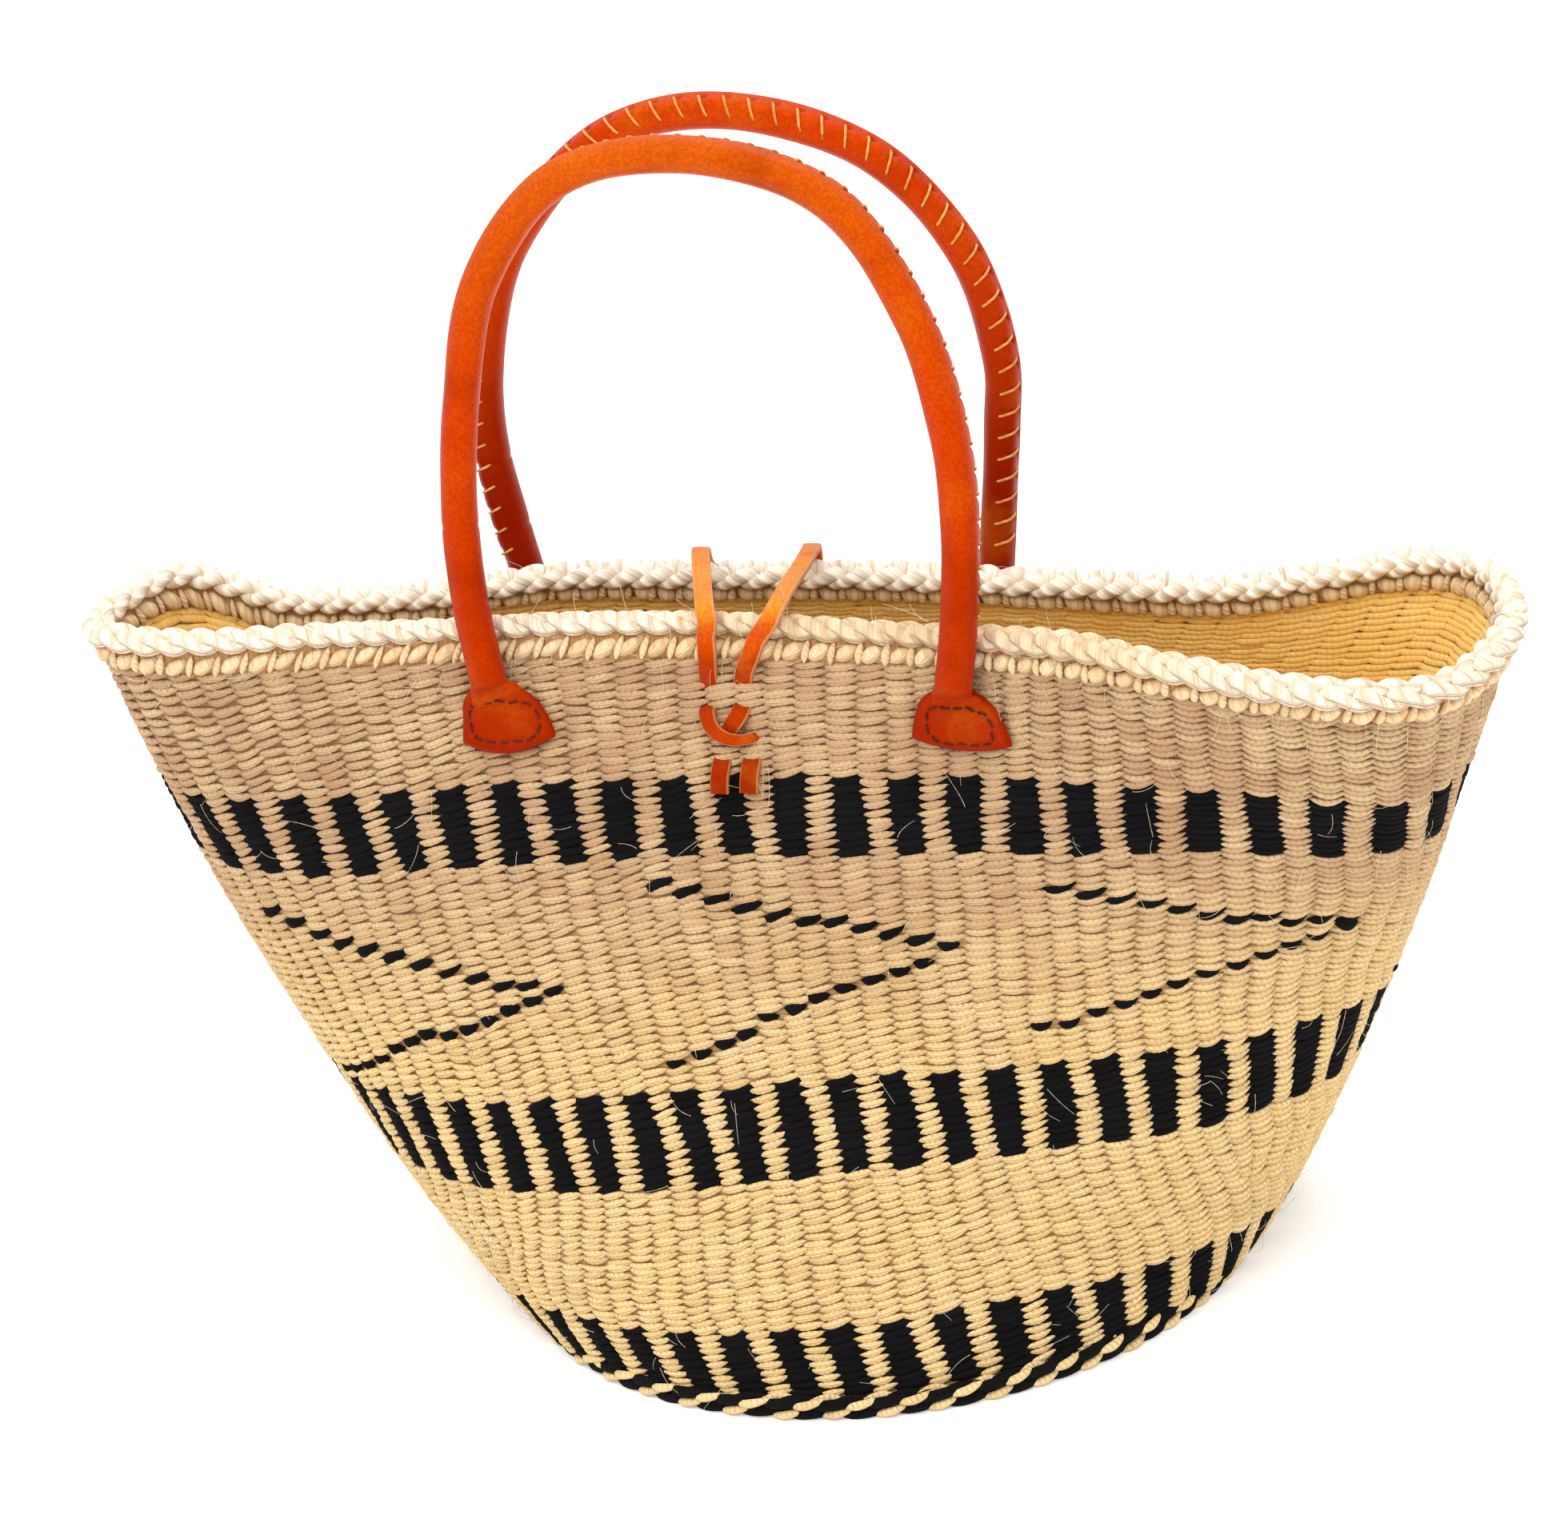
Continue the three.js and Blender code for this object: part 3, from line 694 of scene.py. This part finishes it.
# ---- rim
def rim_plait():
    """Three strands plaited flat along the woven edge, paler at the back and at both ends as painted
    highlight.
    """
    run = wall.turn_lengths(WARP_LENGTH)
    repeats = 3 * round(run[-1] / PLAIT_PITCH / 3)
    parts = []
    for strand in range(3):
        t = linspace(0, TAU * repeats, repeats * 24, endpoint=False)
        phase = t + TAU * strand / 3
        s = interp(t / (TAU * repeats) * run[-1], run, S_STEPS)
        rise = PLAIT_HEIGHT + 1.5 * sin(2 * phase + 0.25) + 0.3 * sin(7 * TAU * s + 2) + edge_rise(s, 255)
        path = wall.point(s, rise, 3.1 * sin(phase))
        radius = 2.55 + 0.25 * cos(2 * phase) + 0.15 * sin(t * 0.37 + strand)
        # Painted highlight: the strands pale towards both ends of the rim and towards its back.
        ends = 0.55 * smooth((abs(path[:, 0] - 45) - 25) / 90)
        pale = np.maximum(smooth((path[:, 1] + 34) / 60) * 0.9, ends) + 0.05 * strand
        parts.append(yarn_tube(path, radius, 12, close=True, per_mm=0.07, tint=np.repeat(pale, 12)))
    return join_parts("rim_plait_strands", parts, RIM)


def rim_filler():
    """The warp ends turned down and packed under the plait and its stitched course."""
    steps, sides = 480, 12
    s = arange(steps) / steps
    q = angles(sides)
    h = 246.6 + 0.25 * sin(s * TAU * 60) + edge_rise(s, 250)
    points = wall.point(s[:, None], h[:, None] + 5.6 * sin(q), 1.9 * cos(q))
    faces = tube_faces(steps, sides, 1, True)
    uv = pairs((s * 120)[:, None], q / TAU)
    return make("rim_filler", points, faces, PACKED, uv, np.full(steps * sides, 0.4))


def lens_row(name, half, tall, deep, stand, rise=0.0, upright=False):
    """A row of fat stitches on both faces of the wall. upright makes them short wraps between the others."""
    rings, sides, count = 8, 8, 112
    run = wall.turn_lengths(COURSE_HEIGHT)
    u = linspace(-1, 1, rings)
    q = angles(sides)
    taper = (1 - 0.78 * abs(u) ** 2.4)[None]
    reach, climb, shift = (0.9, half, 0.5) if upright else (half, rise, 0.0)
    bow = stand + 0.9 * cos(pi * u / 2) - 0.5 if upright else stand * cos(pi * u * 0.42)
    parts = []
    for side in (1, -1):
        centre = (arange(count) + shift) / count * run[-1] + rng.normal(0, 0.3, count)
        size = rng.normal(1, 0.07, count)[:, None]
        along = centre[:, None] + reach * u[None]
        h = COURSE_HEIGHT + climb * u[None] + jitter(0.25, count)
        wide = tall * size * taper
        if upright:
            along, h = thicken(along, wide, sin(q)), h[:, :, None]
        else:
            along, h = along[:, :, None], thicken(h, wide, sin(q))
        s = interp(along % run[-1], run, S_STEPS)
        off = thicken(np.broadcast_to(side * bow, wide.shape), deep * size * taper, cos(q))
        points = wall.point(s, h + edge_rise(s, COURSE_HEIGHT), off)
        parts.append(yarn_pieces(points, u, q, 0.6, 4))
    return join_parts(name, parts, COURSE)


finish_piece(rim_plait(), "pale_sisal", "rim_plait")
finish_piece(rim_filler(), "pale_sisal")
finish_piece(lens_row("rim_course_stitches", 4.5, 2.8, 2.2, 2.5, rise=1.7), "pale_sisal", "rim_stitch_course")
finish_piece(lens_row("rim_course_wraps", 3.7, 1.35, 1.2, 2.7, upright=True), "pale_sisal")


# ---- base
def base_rows(under):
    """Twined rounds of the flat base, seen from below or from inside the basket."""
    rings, sides = (6, 6) if under else (5, 6)
    sign = -1 if under else 1
    u = linspace(-1, 1, rings)
    q = angles(sides, 0.5)
    taper = (1 - 0.78 * abs(u) ** 2.6)[None]
    parts = []
    for row in range(BASE_ROWS):
        round_radius = 2.4 + BASE_ROW * row
        n = max(6, 2 * round(TAU * round_radius / 8.6 / 2))
        angle = (arange(n)[:, None] + 0.66 * u[None]) / n * TAU + row * 0.03
        r = round_radius - sign * 0.95 * sin(pi * u * 0.6)[None] + jitter(0.1, n)
        z = BASE_MIDDLE + sign * (1.15 * cos(pi * u * 0.62)[None] + jitter(0.04, n))
        points = around_axis(angle, thicken(r, 1.5 * taper, sin(q)),
                             np.clip(thicken(z, 1.1 * taper, cos(q)), 0.05, 4.7))
        parts.append(yarn_pieces(points, u, q, 0.6, 5))
    name = "base_weft_under" if under else "base_weft_inside"
    return join_parts(name, parts, NATURAL if under else INSIDE_BOUNCE_LIT)


def base_core():
    """The crossed warps inside the base, which close the gaps between its stitches."""
    rings, sides = 24, 96
    q = angles(sides)
    points = [stack([r * cos(q), r * sin(q), z + 0.15 * cos(q * 48)], 1)
              for z in (1.6, 3.1) for r in linspace(0, 121.4, rings)]
    points = vstack(points)
    upper = grid_faces(rings, sides)[:, FLIP]
    edge = (rings - 1) * sides + arange(sides)
    faces = vstack([upper[:, ::-1], upper + rings * sides, strip(edge, edge + rings * sides)])
    return make("base_warps", points, faces, INSIDE_BOUNCE_LIT, points[:, :2] / 9, np.full(len(points), 0.4))


def edge_braid(dark):
    """Two twined rounds at the edge of the base: long natural lenses over a dark yarn."""
    rings, sides, n = 11, 8, FIRST_WARPS
    reach, climb, high, half, power = (1.05, 0.55, 1.2, 2.1, 3.0) if dark else (0.84, 1.0, 2.2, 1.6, 1.8)
    u = linspace(-1, 1, rings)
    q = angles(sides)
    taper = (1 - 0.9 * abs(u) ** power)[None]
    parts = []
    for level, (height, radius) in enumerate(((2.1, 122.4), (5.9, 123.4))):
        for outer in (True, False):
            chosen = arange(n)[(arange(n) % 2 == 0) == (dark == outer)]
            m = len(chosen)
            sign = 1 if outer else -1
            angle = (chosen[:, None] + reach * u[None] + 0.9 * level) / n * TAU + 0.2 + jitter(0.004, m)
            z = height + (climb * sin(pi * u * 0.5) * sign)[None] + jitter(0.15, m)
            r = radius + sign * (high * cos(pi * u * 0.55)[None]) + jitter(0.1, m)
            points = around_axis(angle, thicken(r, 1.4 * taper, cos(q)),
                                 np.clip(thicken(z, half * taper, sin(q)), 0.1, 9.5))
            parts.append(yarn_pieces(points, u, q, 0.8, 5))
    return join_parts("base_braid_dark" if dark else "base_braid_natural", parts, BLACK if dark else NATURAL)


finish_piece(base_rows(True), "natural_sisal", "base_disc")
finish_piece(base_rows(False), "natural_sisal")
finish_piece(base_core(), "natural_sisal")
finish_piece(edge_braid(True), "black_and_natural_sisal", "base_edge_braid")
finish_piece(edge_braid(False), "natural_sisal")


# ---- leather handles
# Both feet of each handle, its lean, the side its mouth faces, and its path across and above the
# middle between the feet. Each tab has its place s and h, the sideways pull on its neck, the sag of
# its foot and its width against the usual one.
HANDLES = {
    "front_handle": dict(
        left=(-102, -33.5, 216.5), right=(57, -54.5, 217), lean=8, mouth=1,
        tabs={"front_left": (0.6600, 225.8, -8, 4.4, 0.96), "front_right": (0.8012, 224.2, 0.5, 3.0, 1.06)},
        path=[(-77.5, 2), (-81, 28), (-81.5, 57), (-77, 93), (-66, 131), (-37, 162), (9, 168),
              (52, 153), (76, 117), (85, 82), (86.5, 55), (83.5, 20), (80.5, 2)]),
    "rear_handle": dict(
        left=(-107, 48.6, 214), right=(53, 45.6, 214), lean=-4, mouth=-1,
        tabs={"rear_left": (0.3485, 222, 3, 3.5, 1), "rear_right": (0.2010, 222, 1.6, 3.5, 1)},
        path=[(-80, 2), (-83.5, 30), (-85.5, 55), (-83, 82), (-67, 126), (-28, 162), (11, 168),
              (57, 151), (83, 117), (90.5, 79), (88, 57), (82, 20), (79, 2)]),
}


def handle_frame(handle):
    """The middle between a handle's feet, and its directions across, up and towards the mouth."""
    left, right = np.array(handle["left"], float), np.array(handle["right"], float)
    axis = unit(right - left)
    lean = math.radians(handle["lean"])
    up = np.array([0, sin(lean), cos(lean)])
    up = unit(up - axis * up.dot(axis))
    return (left + right) / 2, axis, up, -np.cross(axis, up) * handle["mouth"]


def tab_point(tab, across, up, offset):
    """A place on a tab: its neck end is pulled sideways by the pull of the handle."""
    s0, h0, pull = tab[:3]
    across = across + pull * np.clip((up - TAB_FOOT) / TAB_HEIGHT, 0, 1.2) ** 1.5
    return wall.point(s0 + across / PERIMETER, h0 + up, offset)


def tab_sheet(tab):
    """A bell-shaped tab with rounded edges, thin at its rim and slightly cushioned."""
    rows, columns = 30, 26
    sag, width = tab[3:]
    rise = linspace(0, 1, rows)
    half = width * interp(rise, (0, 0.05, 0.3, 0.6, 0.75, 0.85, 0.93, 0.97, 1),
                          (15.8, 16.0, 15.0, 13.3, 11.2, 8.6, 6.3, 4.9, 3.2))
    v = linspace(-1, 1, columns)
    v = np.sign(v) * abs(v) ** 0.8
    grid, tint = [], []
    for layer in (-1, 1):
        for i in range(rows):
            inward = np.minimum((1 - abs(v)) * half[i], rise[i] * 19 + 0.05)
            thick = TAB_THICK * np.sqrt(np.clip(1 - np.maximum(0, 1 - inward / 1.1)**2, 0, 1))
            cushion = 0.35 * cos(v * 1.5) if layer > 0 else 0
            up = TAB_FOOT + TAB_HEIGHT * rise[i] - sag * (1 - v**2) * (1 - rise[i]) ** 1.5
            off = TAB_LIFT + TAB_THICK / 2 + layer * thick / 2 + cushion
            grid.append(tab_point(tab, v * half[i], up, off))
            tint.append(0.14 * smooth(inward / 2.6) + 0.08 * rise[i])
    n = rows * columns
    sheet = grid_faces(rows, columns, close_columns=False)
    border = np.r_[:columns, 2 * columns - 1:n:columns, n - 2:n - columns - 1:-1, n - 2 * columns:0:-columns]
    faces = vstack([sheet[:, FLIP], sheet + n, strip(border, border + n)])
    return vstack(grid), faces, None, np.concatenate(tint)


def handle_foot(tab, start, travel, out, mouthward):
    """The flattened end of a sleeve, from the round tube down onto its tab."""
    steps = 18
    f = linspace(0, 1, steps + 1)[1:]
    heights = interp(f, (0, 1), (14.0, 5.5))
    deep = interp(f, (0, 0.2, 0.45, 0.65, 0.8, 0.92, 1), (5.6, 4.7, 3.1, 1.9, 1.1, 0.5, 0.1))
    wide = interp(f, (0, 0.25, 0.5, 0.75, 1), (5.95, 6.2, 7.2, 8.6, 9.2))
    target = tab_point(tab, 0 * f, heights, TAB_LIFT + 1.6 + deep * 0.86)
    ease = smooth(f * 1.6)[:, None]
    centre = (start + travel * (f[:, None] * 10)) * (1 - ease) + target * ease
    normal = wall.out(np.full(steps, tab[0]), tab[1] + heights)
    side = unit(np.cross(normal, unit(target[0] - target[-1])))
    side = side * np.sign(side[0] @ out)
    return (centre, wide, deep, unit(out * (1 - ease) + side * ease),
            unit(mouthward * (1 - ease) - normal * ease), np.full(steps, -1.0))


def seam_relief(along, length, q):
    """The raised seam of a sleeve and the dents of its stitches, which stop short of both ends."""
    gap = (q - SEAM_TURN + pi) % TAU - pi
    live = smooth((along - 14) / 10) * smooth((length - 14 - along) / 10) * (along > 0)
    notch = bell((along % SEAM_STEP) - SEAM_STEP / 2, 1.15)[:, None]
    seam = bell(gap, 0.36) * (0.95 - 0.85 * notch) - bell(gap + 0.52, 0.18) * 1.05 * notch
    return live[:, None], live[:, None] * (seam + 0.30 * bell(gap - 0.25, 0.10))


def handle_skin(name):
    """The sleeve and both tabs of a handle in one skin, which bends where it leaves the wall."""
    handle = HANDLES[name]
    tabs = list(handle["tabs"].values())
    origin, axis, up, mouthward = handle_frame(handle)
    path = spline([origin + axis * a + up * b for a, b in handle["path"]], False)
    count = int(lengths_along(path)[-1] / 0.95)
    path = resample(path, count)
    run = lengths_along(path)
    t = unit(np.gradient(path, axis=0))
    out = unit(np.cross(t, mouthward))
    if (out[count // 2] @ up) < 0:
        out = -out
    first = handle_foot(tabs[0], path[0], -t[0], out[0], mouthward)
    last = handle_foot(tabs[1], path[-1], t[-1], out[-1], mouthward)
    tube = (path, np.full(count, SLEEVE), np.full(count, SLEEVE), out, np.tile(mouthward, (count, 1)), run)
    centre, wide, deep, outward, inward, along = (
        np.concatenate([a[::-1], b, c]) for a, b, c in zip(first, tube, last))
    sides = 40
    q = angles(sides)
    live, seam = seam_relief(along, run[-1], q)
    d = along[:, None]
    wave = 0.10 * sin(d / 17.0) + 0.06 * sin(d / 5.3 + 2 * q)
    skin = seam + live * (wave - 0.35 * bell(d - 26, 1.0) - 0.3 * bell(d - 51, 0.9))
    points = (centre[:, None] + ((wide[:, None] + skin) * cos(q))[:, :, None] * outward[:, None]
              + ((deep[:, None] + skin) * sin(q))[:, :, None] * inward[:, None]).reshape(-1, 3)
    faces = tube_faces(len(centre), sides)
    if np.cross(out[count // 2], mouthward) @ t[count // 2] < 0:
        faces = faces[:, ::-1]
    # Painted light: the leather pales towards the top of the handle as painted highlight and darkens in the
    # dents of the seam as painted shade.
    tint = 0.25 + 0.5 * smooth((points[:, 2] - 215) / 175) - 0.6 * np.clip(-seam, 0, 0.6).reshape(-1)
    tint = tint - (0.22 if handle["mouth"] < 0 else 0)
    parts = [(points, faces, None, tint)] + [tab_sheet(tab) for tab in tabs]
    obj = join_parts(name + "_skin", parts, LEATHER)
    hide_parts(name + "_sleeve", *("tab_" + n for n in handle["tabs"]))
    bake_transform(obj)
    return path, out, mouthward, run


def stitch_seam(name, path, out, mouthward, run):
    """Slanted whip stitches over the handle's seam."""
    parts = []
    f = linspace(0, 1, 9)
    gap = f * 1.35 - 0.56
    turn = SEAM_TURN + gap
    r = (SLEEVE + 0.30 + 0.55 * bell(gap, 0.36) - 0.9 * (abs(f - 0.5) * 2) ** 8)[:, None]
    for i in range(2, int(run[-1] / SEAM_STEP) - 1):
        along = (i + 0.5) * SEAM_STEP + (f - 0.5) * 3.4
        outward = unit(columns_at(along, run, out))
        points = columns_at(along, run, path) + r * (cos(turn)[:, None] * outward
                                                     + sin(turn)[:, None] * mouthward)
        parts.append(yarn_tube(points, 0.46, 6, tint=rng.uniform(0, 1)))
    piece = join_parts(name + "_whip_stitches", parts, THREAD_PALE)
    finish_piece(piece, "brown_thread", name + "_seam", body=name)


def tab_stitching(tab, label):
    """Separate hand stitches round the middle of a tab."""
    corners, count, power = 40, 14, 0.62
    q = angles(corners)
    across = 11.3 * np.sign(cos(q)) * abs(cos(q)) ** power + rng.normal(0, 0.3, corners)
    up = -0.8 + 6.2 * np.sign(sin(q)) * abs(sin(q)) ** power + rng.normal(0, 0.25, corners)
    ring = spline(stack([across, up], 1), True, 6)
    ring = resample(vstack([ring, ring[:1]]), 241)
    step = 240 // count
    parts = []
    for i in range(count):
        piece = ring[i * step + 1: i * step + step - 1]
        off = TAB_LIFT + TAB_THICK + 0.62 - 0.9 * abs(linspace(-1, 1, len(piece))) ** 6
        points = tab_point(tab, piece[:, 0], piece[:, 1], off)[::2]
        parts.append(yarn_tube(points, 0.36, 6, tint=rng.uniform(0, 1), up=wall.out(tab[0], tab[1])))
    piece = join_parts("hand_stitches_" + label, parts, THREAD_DARK)
    finish_piece(piece, "brown_thread", "stitching_" + label)


for handle_name, handle in HANDLES.items():
    stitch_seam(handle_name, *handle_skin(handle_name))
    for label, tab in handle["tabs"].items():
        tab_stitching(tab, label)
    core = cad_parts[handle_name + "_core"].data.materials
    core.clear()
    core.append(RIM)


# ---- closing thong
def strap(name, places, steps, narrow=1.0):
    """A flat cut strip through places, each a point and its facing. It may narrow to its far end."""
    both = resample(spline([list(p) + list(u) for p, u in places], False, 12), steps)
    c, n = both[:, :3], both[:, 3:]
    t = unit(np.gradient(c, axis=0))
    n = unit(n - t * (n * t).sum(1)[:, None])
    a = np.cross(t, n)
    w, h, k = THONG_WIDTH / 2, THONG_THICK / 2, 0.35
    section = [(-w + k, -h), (0, -h), (w - k, -h), (w, -h + k), (w, h - k), (w - k, h), (0, h + 0.12),
               (-w + k, h), (-w, h - k), (-w, -h + k)]
    wide = linspace(1, narrow, steps)[:, None] ** 1.5
    points = stack([c + a * wide * x + n * y for x, y in section], 1)
    faces = tube_faces(steps, len(section))
    raw = np.ones(len(faces), int)
    m = (steps - 1) * len(section)
    raw[:m] = np.isin(arange(m) % len(section), (2, 3, 4, 7, 8, 9))
    turned = np.cross(points[0, 1] - points[0, 0], points[1, 0] - points[0, 0]) @ (points[0, 0] - c[0])
    if turned < 0:
        faces = faces[:, ::-1]
    points = points.reshape(-1, 3)
    # Painted light: the thong pales towards its top, where it bends over the rim, as painted highlight, and
    # darkens lower down on its legs, knot and tails as painted shade.
    tint = interp(points[:, 2], (185, 200, 216, 222, 228, 234, 239),
                  (0.05, 0.24, 0.15, 0.2, 0.45, 0.65, 0.9))
    return make(name, points, faces, [THONG, CUT_EDGE], tint=tint, slots=raw)


def on_wall(*places):
    """Points and facings of a strap from s, h and offset of each place."""
    return [(wall.point(s, h, offset), wall.out(s, h)) for s, h, offset in places]


FLAT = WALL_FACE + THONG_THICK / 2
PROUD = 5.6 + THONG_THICK / 2
LEG_HEIGHTS = (230.0, 234.2, 238, 243, 247.5)
LEG_OFFSETS = (0.2, 1.9, FLAT, FLAT + 1.8, PROUD)
left_leg = on_wall(*zip((0.7209, 0.7212, 0.7216, 0.7219, 0.7217), LEG_HEIGHTS, LEG_OFFSETS))
right_leg = on_wall(*zip((0.7314, 0.7322, 0.7336, 0.7362, 0.7382), LEG_HEIGHTS, LEG_OFFSETS))
# The loop from leg to leg: its middle line and which way it faces.
LOOP = [
    (-24.6, -32.2, 234.6, 0, -1, 0.5), (-25.9, -28, 237.6, 0, -0.5, 1), (-28.7, -18, 238.9, 0, 0, 1),
    (-36.5, 10, 237.4, 0, 0, 1), (-42, 30, 235.6, 0, 0.1, 1), (-44.4, 39.5, 232.4, 0, 1, 1),
    (-45, 44, 226, 0, 1, 0.1), (-41, 48, 217.5, 0, 1, 0.2), (-26, 49.6, 211.5, 0, 1, 0.2),
    (-11.5, 48, 217.5, 0, 1, 0.2), (-8, 43.6, 226, 0, 1, 0.1), (-6.6, 39, 232.2, 0, 1, 1),
    (-4.6, 29, 235.2, 0, 0.1, 1), (-3, 10, 237.0, 0, 0, 1), (-2, -20, 238.8, 0, 0, 1),
    (-2.6, -31, 237.6, 0, -0.5, 1), (-4.4, -35, 234.6, 0, -1, 0.5),
]
thong = strap("closing_thong", left_leg + [(p[:3], unit(p[3:])) for p in LOOP] + right_leg[::-1], 300)
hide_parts("closure_loop", "closure_leg_left", "closure_leg_right")
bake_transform(thong)

over = on_wall((0.7206, 227.5, 0.0), (0.7216, 223.6, FLAT), (0.7238, 219.4, FLAT + 1.2),
               (0.7280, 216.6, FLAT + 1.3), (0.7334, 216.2, FLAT + 0.2), (0.7366, 217.4, 0.0))
under = on_wall((0.7322, 228.0, 0.0), (0.7314, 224.2, FLAT - 0.4), (0.7288, 220.4, FLAT - 0.9),
                (0.7252, 216.5, 0.2))
finish_piece(strap("thong_half_knot", over, 40, 0.6), "leather_thong", "closure_half_knot")
finish_piece(strap("thong_under_knot", under, 40, 0.9), "leather_thong")
for label, s in (("left", 0.7255), ("right", 0.7347)):
    tail = on_wall((s, 212.5, -0.1), (s, 208.4, FLAT - 1.0), (s - 0.0003, 204.5, FLAT + 0.3),
                   (s - 0.0006, 199.5, FLAT + 0.1))
    finish_piece(strap("thong_tail_" + label, tail, 24), "leather_thong", "closure_tail_" + label)


def toggle():
    """A strip of leather rolled up tight, on the rear wall."""
    s0, h0 = TOGGLE_PLACE
    middle = wall.point(s0, h0, WALL_FACE + TOGGLE_RADIUS)
    along = unit(wall.point(s0 - 0.01, h0) - wall.point(s0 + 0.01, h0))
    normal = wall.out(s0, h0)
    normal = unit(normal - along * (normal @ along))
    third = np.cross(along, normal)
    turn = linspace(0, 2.6 * TAU, 110)
    spiral = TOGGLE_HOLE + (TOGGLE_RADIUS - TOGGLE_HOLE) * turn / turn[-1]
    outer = stack([spiral * cos(turn), spiral * sin(turn)], 1)
    inner = outer * (1 - TOGGLE_LEATHER / spiral)[:, None]
    section = vstack([outer, inner[::-1]])
    stations = ((-11, 0.96), (-10.7, 1), (-6, 0.985), (0, 1), (6, 0.985), (10.7, 1), (11, 0.96))
    points = stack([middle + along * x + (section[:, :1] * normal + section[:, 1:] * third) * scale
                    for x, scale in stations])
    n = len(section)
    quads = grid_faces(len(stations), n)
    j = arange(n // 2 - 1)
    cap = stack([j, n - 1 - j, n - 2 - j, j + 1], 1)
    faces = vstack([quads, cap, cap[:, ::-1] + (len(stations) - 1) * n])
    slots = np.r_[np.zeros(len(quads), int), np.ones(2 * len(cap), int)]
    tint = np.full(points.size // 3, 0.06)
    return make("rolled_toggle", points, faces, [THONG, CUT_EDGE], tint=tint, slots=slots)


finish_piece(toggle(), "leather_thong", "closure_toggle")
tie = [(wall.point(*TOGGLE_PLACE, offset), (0, 0, 1)) for offset in (0.0, 2.0, 4.0, 6.0)]
finish_piece(strap("toggle_tie", tie, 12), "leather_thong")


# ---- stray fibres
def fibres(name, count, h_range, length, radius):
    """Loose curled hairs standing off the outside of the wall."""
    t = linspace(0, 1, 8)[:, None]
    parts = []
    for _ in range(count):
        s, h = rng.uniform(0, 1), rng.uniform(*h_range)
        size = rng.uniform(*length)
        n = wall.out(s, h)
        side = unit(wall.point(s + 0.002, h) - wall.point(s - 0.002, h))
        upward = np.cross(n, side)
        heading = rng.uniform(0, TAU)
        run = side * cos(heading) + upward * sin(heading)
        curl = (side * sin(heading) - upward * cos(heading)) * rng.uniform(-0.5, 0.5)
        stand = rng.uniform(0.10, 0.42)
        points = wall.point(s, h, 2.1) + size * (run * t * 0.9 + curl * t**2
                                                 + n * (stand * sin(t * 2.4) * 0.8))
        points[:, 2] = points[:, 2].clip(0.3)
        parts.append(yarn_tube(points, radius * linspace(1, 0.5, 8), 3, tint=rng.uniform(0, 1), up=n))
    return join_parts(name, parts, HAIR)


finish_piece(fibres("stray_fibres", 900, (8, 248), (4, 15), 0.085), "natural_sisal")
finish_piece(fibres("rim_fibres", 420, (240, 257), (5, 17), 0.10), "pale_sisal")

# ---- floor, light and camera
floor_material, tree, shader = new_material("floor")
fill(tree, shader, {"Base Color": (0.94, 0.94, 0.94, 1), "Roughness": 1.0, "Specular IOR Level": 0.0,
                    "Emission Color": (1, 1, 1, 1), "Emission Strength": 0.30})
bpy.ops.mesh.primitive_plane_add(size=12, location=(0, 0, 0))
floor = bpy.context.object
floor.name = "floor"
floor.data.materials.append(floor_material)

scene = bpy.context.scene
world = scene.world or bpy.data.worlds.new("studio")
scene.world = world
world.use_nodes = True
tree = world.node_tree
background = next(x for x in tree.nodes if x.type == "BACKGROUND")
sky = add(tree, "SeparateXYZ", {0: add(tree, "TexCoord").outputs["Generated"]})
dome = add(tree, "MapRange", {0: sky.outputs[2], 1: 0.0, 2: 1.0, 3: 0.62, 4: 1.25})
fill(tree, background, {0: (1.0, 0.99, 0.97, 1), 1: dome.outputs[0]})


def area(name, place, aim, size, power, tone=(1, 1, 1)):
    """A square soft light at a place, aimed at a point."""
    light = bpy.data.lights.new(name, "AREA")
    light.size = size
    light.energy = power
    light.color = tone
    obj = link(name, light)
    obj.location = place
    obj.rotation_euler = (Vector(aim) - Vector(place)).to_track_quat("-Z", "Y").to_euler()


area("key", (-0.6, -1.1, 1.7), (0, 0, 0.15), 1.6, 14, (1.0, 0.98, 0.94))
area("fill", (0.8, -1.3, 1.4), (0.08, 0, 0.2), 1.2, 7, (1.0, 0.97, 0.92))
area("top", (0.1, 0.5, 1.9), (0, 0, 0.2), 1.0, 8)

CAMERA_DISTANCE, SENSOR_WIDTH, FOCAL_WIDTHS = 1.5, 36, 2.94898
azimuth, elevation, roll = (math.radians(v) for v in (16, 22, 8))
toward = Vector((sin(azimuth) * cos(elevation), -cos(azimuth) * cos(elevation), sin(elevation)))
right = Vector((cos(azimuth), sin(azimuth), 0))
aim = right * -0.0144 + Vector((0, 0, 0.176))
upward = right.cross(-toward)
side = right * cos(roll) - upward * sin(roll)
above = right * sin(roll) + upward * cos(roll)
camera = link("camera", bpy.data.cameras.new("camera"))
camera.matrix_world = (Matrix.Translation(aim + toward * CAMERA_DISTANCE)
                       @ Matrix((side, above, toward)).transposed().to_4x4())
camera.data.sensor_width = SENSOR_WIDTH
camera.data.lens = SENSOR_WIDTH * FOCAL_WIDTHS
camera.data.clip_start = 0.01
scene.camera = camera
scene.view_settings.view_transform = "Standard"
